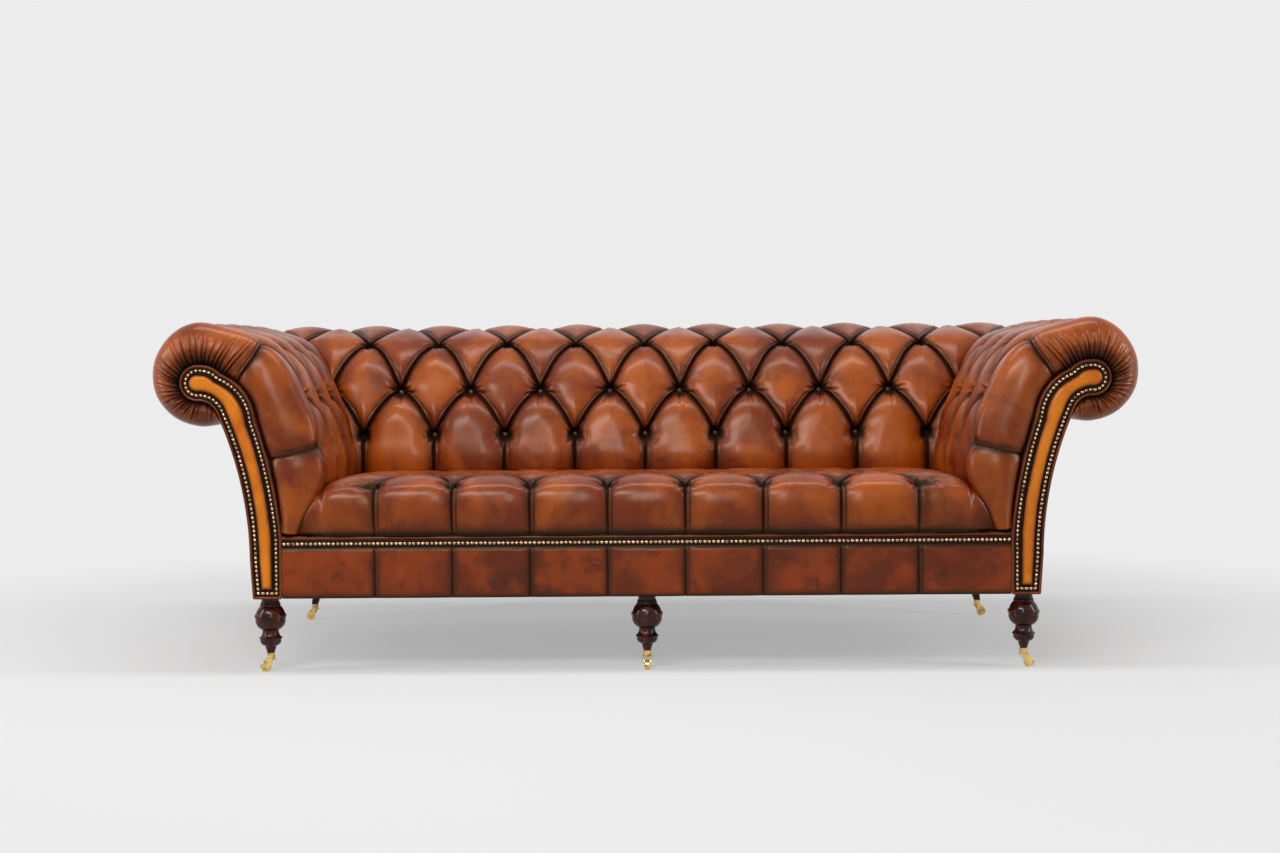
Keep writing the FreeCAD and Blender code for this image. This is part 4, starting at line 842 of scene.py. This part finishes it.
def seat_padding():
    """The sprung seat with its lip. Gives its buttons' places and directions."""
    profile, inward, rows = profile_of(SEAT_POINTS, SEAT_INWARD, SEAT_ROWS)
    folds = Folds(SEAT_DEPTH)
    columns = [(SEAT_PITCH * k, k % 2 == 1) for k in range(-8, 9)]
    on_column = {True: (1, 3), False: (2, 4)}
    for place, odd in columns:
        if abs(place) < LAST_FOLD:
            folds.buttons += [(rows[row], place) for row in on_column[odd]]
        if odd:
            folds.fold((0.0, place), (rows[1], place), 9, 12, SEAT_DEPTH, 62)
        elif abs(place) < LAST_FOLD:
            folds.fold((rows[4], place), (profile.length, place), SEAT_DEPTH, SEAT_FOLD, SEAT_FOLD, 60)
    for (place, odd), (after, _) in zip(columns, columns[1:]):
        left, right = (place, after) if odd else (after, place)
        if max(abs(place), abs(after)) < LAST_FOLD:
            for first, second in ((1, 2), (3, 2), (3, 4)):
                folds.fold((rows[first], left), (rows[second], right), SEAT_DEPTH, SEAT_FOLD, SEAT_DEPTH, 64)
    heights = {True: (rows[1], rows[3], rows[3]), False: (rows[2], rows[2], rows[4])}
    knots = [(place, heights[odd]) for place, odd in columns if abs(place) < LAST_FOLD]
    knots = [(-SEAT_HALF, heights[True])] + knots + [(SEAT_HALF, heights[True])]
    s, t = lattice(knots, (0.0, profile.length), 26, (44, 34, 32, 22))
    depth, crease, hollow = folds.read(s, t)
    y, z = profile.at(s)
    depth = depth + 1.4 * ripple(s, t, 200)
    inner_y, inner_z = inward_at(inward, s)
    y, z = y + inner_y * depth, z + inner_z * depth

    # both ends round over and run down the slanting sides of the arms, rounder at the front
    e = unit((np.abs(t) - SEAT_ROUNDING) / (SEAT_HALF - SEAT_ROUNDING))
    over, down = unit(e / 0.6), unit((e - 0.6) / 0.4)

    def turned_down(half_width, dip, outwards, downwards):
        reach = SEAT_ROUNDING + (half_width - SEAT_ROUNDING) * np.sin(over * QUARTER_TURN) + outwards
        lower = dip * (1 - np.cos(over * QUARTER_TURN)) + downwards
        return np.sign(t) * reach, SEAT_FOOT + (z - SEAT_FOOT) * (1 - lower / SEAT_HEIGHT)

    plain_x, level = turned_down(768, 30, 52 * down, 105 * down)
    round_x, round_level = turned_down(775, 24, 55 * np.sin(down * QUARTER_TURN),
                                       112 * (1 - np.cos(down * QUARTER_TURN)))
    y = y + 20 * e ** 2 * unit((-y - 380) / 110)
    at_front = unit((-y - 400) / 80)
    x = np.where(e > 0, plain_x, t) + np.sign(t) * 10 * e * at_front
    x = np.where(e > 0, x + (round_x - x) * at_front, x)
    level = level + (round_level - level) * at_front
    # painted shadow along the bottom of the lip, and painted shade where the ends turn down against the arms
    crease = np.maximum(crease, np.exp(-np.clip(s - 4, 0, None) / 8))
    hollow = np.maximum(np.maximum(hollow, np.exp(-s / 22)), 0.8 * e ** 2)
    bottom = np.linspace((142.0, 330.4), (-484.0, 330.4), 14)
    piece = padded_mesh("seat_padding", stacked(x, y, level), stacked(x[:, -1:], bottom[:, 0], bottom[:, 1]),
                        crease, hollow)
    trim(piece)
    dress(piece, "tan_leather", replaces=("seat_upholstery",))
    spots = []
    for place, odd in columns:
        for row in on_column[odd] if abs(place) < LAST_BUTTON else ():
            out = np.array(inward_at(inward, rows[row]))
            reach, height = SEAT_ROWS[row] + out * SEAT_DEPTH
            spots.append((np.array([place, reach, height]), np.array([0, -out[0], -out[1]])))
    return spots


def buttons(name, node, spots):
    """Leather-covered buttons with a rounded rim and a slightly puckered top."""
    outline = [(0.1, 7.6), (3.5, 7.3), (6.6, 6.4), (9.0, 4.7), (10.4, 2.4), (10.6, 0.2), (9.6, -1.8), (7.5, -3.0)]
    around = 28
    turns = np.linspace(0, 2 * math.pi, around, endpoint=False)
    rings = []
    for radius, lift in outline:
        pucker = 1 + 0.018 * np.cos(7 * turns) * (radius / 10)
        rings.append(stacked(radius * pucker * np.cos(turns), radius * pucker * np.sin(turns), lift))
    shape = np.array(rings)
    made = bmesh.new()
    for spot, direction in spots:
        turn = np.array(Vector(direction).to_track_quat("Z", "Y").to_matrix())
        points = (shape @ turn.T + spot) * MM
        corners = [[made.verts.new(point) for point in ring] for ring in points]
        for lower, upper in zip(corners, corners[1:]):
            for k in range(around):
                made.faces.new((lower[k], lower[k - 1], upper[k - 1], upper[k]))
        made.faces.new(corners[0])
        made.faces.new(corners[-1][::-1])
    bmesh.ops.recalc_face_normals(made, faces=made.faces)
    for face in made.faces:
        face.smooth = True
    mesh = bpy.data.meshes.new(name)
    made.to_mesh(mesh)
    made.free()
    # their dark leather is painted shade of the holes
    dress(placed(name, mesh), "button_leather", replaces=(node,))


# Facings, their piping, and the front border

def distance_inside(points, outline):
    """Distance of each point from the outline."""
    best = np.full(len(points), np.inf)
    for start, end in zip(outline, np.roll(outline, -1, axis=0)):
        along = end - start
        f = unit((points - start) @ along / max(along @ along, 1e-9))
        best = np.minimum(best, np.linalg.norm(points - start - f[:, None] * along, axis=1))
    return best


def inside(points, outline):
    """Whether each point lies inside the outline."""
    x, z = points[:, 0], points[:, 1]
    odd = np.zeros(len(points), bool)
    for (x1, z1), (x2, z2) in zip(outline, np.roll(outline, -1, axis=0)):
        if z1 != z2:
            odd ^= ((z1 > z) != (z2 > z)) & (x < (x2 - x1) * (z - z1) / (z2 - z1) + x1)
    return odd


def across(outline):
    """Directions that point inwards from each place of an outline."""
    ahead = np.roll(outline, -1, axis=0) - np.roll(outline, 1, axis=0)
    ahead /= np.linalg.norm(ahead, axis=1)[:, None]
    return stacked(ahead[:, 1], -ahead[:, 0])


def ring_inside(outline, distance):
    """The outline moved inwards, without the places where it would cross itself."""
    moved = outline + across(outline) * distance
    return moved[distance_inside(moved, outline) > distance - 0.35]


def even_outline(step):
    closed = Line(np.vstack([OUTLINE, OUTLINE[:1]]))
    count = int(closed.length / step)
    return stacked(*closed.at(np.linspace(0, closed.length, count, endpoint=False)))


# Distances from the facing's edge: the nailed band lies between the piping and the raised pad
PIPING_END, BAND_END = 6.0, 21.5
PAD_RISE = 12.5
INNERMOST_RING = 29.0


def facing_height(inset):
    """How far the facing stands in front of the board at a distance from its edge."""
    band = 10.0 + 0.6 * np.sin(unit((inset - PIPING_END) / 14) * math.pi)
    pad = 12.0 * np.sqrt(np.clip(1 - (1 - unit((inset - BAND_END) / PAD_RISE)) ** 2, 0, None))
    groove = 1.8 * bell(inset - BAND_END, 1.6)
    return band + pad - groove


def facings():
    """The facing of each arm: rings of points that follow its edge, and an even grid inside them."""
    edge = even_outline(4.0)
    rings = [ring_inside(edge, distance)
             for distance in (PIPING_END, 9.0, 13.0, 17.0, 19.5, 21.0, 22.0, 23.5, 26.0, INNERMOST_RING)]
    low, high = edge.min(axis=0), edge.max(axis=0)
    grid_x, grid_z = np.meshgrid(np.arange(low[0], high[0], 4.5), np.arange(low[1], high[1], 4.5))
    grid = stacked(grid_x.ravel(), grid_z.ravel())
    grid = grid[inside(grid, edge)]
    grid = grid[distance_inside(grid, edge) > INNERMOST_RING + 2]
    places = [Vector(place) for place in np.vstack(rings + [grid]).tolist()]
    rim = list(range(len(rings[0])))
    corners, _, faces, *_ = delaunay_2d_cdt(places, [], [rim], 1, 0.01)
    flat = np.array([[c.x, c.y] for c in corners])
    inset = distance_inside(flat, edge)
    points = stacked(flat[:, 0], BOARD_FRONT - facing_height(inset), flat[:, 1])
    # the nailed band is dark; the dark lines under the piping and in the groove beside the pad are painted shade;
    # the pad darkens towards its edge
    on_band = (inset > 7) & (inset < 20.5)
    crease = np.maximum(np.exp(-np.abs(inset - BAND_END) / 2.2), np.exp(-(inset - PIPING_END) / 2.0))
    crease = np.maximum(crease, np.where(on_band, 0.86, 0.0))
    hollow = np.where(inset < BAND_END, 1.0, 0.95 * np.exp(-(inset - BAND_END) / 7.0))
    for side, sign in SIDES:
        piece = mesh_piece(side + "_facing", points * (sign, 1, 1), faces, {"crease": crease, "hollow": hollow})
        made = bmesh.new()
        made.from_mesh(piece.data)
        rims = [edge for edge in made.edges if edge.is_boundary]
        for item in bmesh.ops.extrude_edge_only(made, edges=rims)["geom"]:
            if isinstance(item, bmesh.types.BMVert):
                item.co.y = BOARD_FRONT * MM
        close_up(made)
        for face in made.faces:
            face.smooth = len(face.verts) == 3 and abs(face.normal.y) > 0.15
        made.to_mesh(piece.data)
        made.free()
        dress(piece, "facing_leather", replaces=(side + "_arm_facing",))


def facing_piping():
    """Round piping along the edge of each facing."""
    line = ring_inside(even_outline(3.0), 3.0)
    turns = np.linspace(0, 2 * math.pi, 12, endpoint=False)
    x, z = (line[:, :, None] + across(line)[:, :, None] * 3.4 * np.cos(turns)).transpose(1, 0, 2)
    rings = stacked(x, -482.6 + 4.0 * np.sin(turns), z)
    rings = np.concatenate([rings, rings[:1]])
    for side, sign in SIDES:
        piece = tube_mesh(side + "_facing_piping", rings * (sign, 1, 1), {})
        trim(piece)
        dress(piece, "piping_leather", replaces=("facing_piping",))


BORDER_SEAMS = [-651.0, -465.0, -279.0, -93.0, 93.0, 279.0, 465.0, 651.0]
BORDER_END = 872.4
BORDER_LOW, BAND_LOW, BORDER_TOP = 181.5, 304.0, 321.6


def front_border():
    """Border under the seat in nine gently padded panels, with a dark nailed band along its top."""
    knots = [-BORDER_END] + BORDER_SEAMS + [BORDER_END]
    x = np.concatenate([graded(a, b, 44, 0.85)[:-1] for a, b in zip(knots, knots[1:])] + [[BORDER_END]])
    rows = np.concatenate([np.linspace(BORDER_LOW, 190, 6)[:-1], np.linspace(190, BAND_LOW, 24)[:-1],
                           np.linspace(BAND_LOW, BORDER_TOP, 9)])
    x, z = np.meshgrid(x, rows, indexing="ij")
    gap = np.min([np.abs(x - seam) for seam in BORDER_SEAMS], axis=0)
    right_of_seam = np.min([np.where(x > seam, x - seam, np.inf) for seam in BORDER_SEAMS], axis=0)
    in_panel = unit((303 - z) / 6)
    puff = 5.0 * (1 - fall(gap / 40)) * in_panel
    lip = (2.6 * bell(right_of_seam - 5, 2.2) - bell(right_of_seam - 9.5, 1.6)) * in_panel
    under = 6.0 * unit((188 - z) / 7) ** 2
    strain = 0.7 * ripple(x, z * 0.6, 90) * in_panel
    y = -479.5 - puff - lip - strain + under + 2.0 * bell(z - 303, 2.2)
    # each seam is a dark line with painted shade spreading from it and along its tuck; the nailed band is dark, with
    # painted shade under the seat's lip above it and where the border turns under at the bottom
    crease = np.max([np.exp(-gap / 3.2) * in_panel, np.where(z > 303, 0.9, 0.0),
                     0.7 * np.exp(-np.abs(right_of_seam - 9.5) / 1.8) * in_panel, np.exp(-(z - 181) / 5)], axis=0)
    hollow = np.max([0.75 * np.exp(-gap / 14) * in_panel, unit((z - 290) / 14),
                     0.8 * np.exp(-(z - 181) / 14)], axis=0)
    piece = padded_mesh("border_panels", stacked(x, y, z), stacked(x[:, :1], -472.2, z[:, [-1, 0]]),
                        crease, hollow)
    trim(piece)
    dress(piece, "border_leather", replaces=("front_border",))


# Finishes of the solids that stay

KEPT = {
    "antique_brass": ["facing_nails", "border_nails"],
    "outside_leather": ["left_outside_arm_panel", "right_outside_arm_panel", "outside_back_panel"],
    "piping_leather": ["border_piping"],
    "black_cloth": ["bottom_cloth"],
    "jute_webbing": ["seat_webbing", "arm_webbing", "back_webbing"],
    "hessian": ["spring_canvas"],
    "spring_steel": ["seat_springs"],
}
PLACES = [f"{side}_{end}" for end in ("front", "rear") for side in ("left", "centre", "right")]
KEPT["mahogany"] = [place + "_leg" for place in PLACES]
KEPT["castor_brass"] = ["castor_sockets"] + [f"{place}_castor_{part}"
                                             for place in PLACES for part in ("horn", "wheel")]


def dress_solids():
    finish_by_node = {node: finish for finish, nodes in KEPT.items() for node in nodes}
    for name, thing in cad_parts.items():
        finish = FINISHES[finish_by_node.get(name, "beech")]
        if not thing.material_slots:
            thing.data.materials.append(finish)
        for held in thing.material_slots:
            held.material = finish


def make_floor():
    """A pale floor that takes the sofa's shadow and turns into the plain backdrop away from it."""
    corners = np.array([(-1, -1, 0), (1, -1, 0), (1, 1, 0), (-1, 1, 0)])
    floor = mesh_piece("floor", corners * 40000.0, [(0, 1, 2, 3)], {})
    pale = bpy.data.materials.new("pale_floor")
    pale.use_nodes = True
    tree = pale.node_tree
    lit = tree.nodes["Principled BSDF"]
    lit.inputs["Base Color"].default_value = (0.78, 0.78, 0.78, 1.0)
    lit.inputs["Roughness"].default_value = 0.8
    glow = maths(tree, "MULTIPLY", seen_directly(tree), BACKDROP)
    plain = add(tree, "Emission", {"Color": WHITE, "Strength": glow})
    where = add(tree, "TexCoord").outputs["Object"]
    away = add(tree, "VectorMath", {0: where}, operation="LENGTH").outputs["Value"]
    blend = add(tree, "MixShader", {0: ramp(tree, away, 0.9, 2.9, 0.45, 1.0), 1: lit.outputs[0],
                                              2: plain.outputs[0]})
    tree.links.new(blend.outputs[0], tree.nodes["Material Output"].inputs["Surface"])
    floor.data.materials.append(pale)


def make_world():
    """White surroundings: bright where they are seen, dim as light."""
    world = bpy.data.worlds.new("studio")
    bpy.context.scene.world = world
    world.use_nodes = True
    tree = world.node_tree
    sky = tree.nodes["Background"]
    sky.inputs["Color"].default_value = WHITE
    strength = maths(tree, "MULTIPLY_ADD", seen_directly(tree), BACKDROP - AMBIENT, AMBIENT)
    tree.links.new(strength, sky.inputs["Strength"])


make_camera()
back_spots = back_padding()
arm_spots = arm_padding()
seat_spots = seat_padding()
buttons("back_covered_buttons", "back_buttons", back_spots)
buttons("arm_covered_buttons", "arm_buttons", arm_spots)
buttons("seat_covered_buttons", "seat_buttons", seat_spots)
facings()
facing_piping()
front_border()
dress_solids()
make_floor()
make_world()
for name, place, target_height, width, height, power in (
        ("key_softbox", (-1.4, -3.4, 3.0), 0.5, 2.2, 0.6, 66), ("top_softbox", (0.0, -0.6, 3.1), 0.4, 3.2, 0.5, 45),
        ("left_strip", (-3.4, -1.2, 1.5), 0.5, 0.3, 2.2, 34), ("front_strip", (0.0, -3.9, 1.9), 0.5, 0.25, 1.5, 24),
        ("right_strip", (3.4, -1.2, 1.5), 0.5, 0.3, 2.2, 34)):
    make_lamp(name, place, (0.0, 0.0, target_height), width, height, power)
bpy.context.scene.view_settings.view_transform = "Standard"
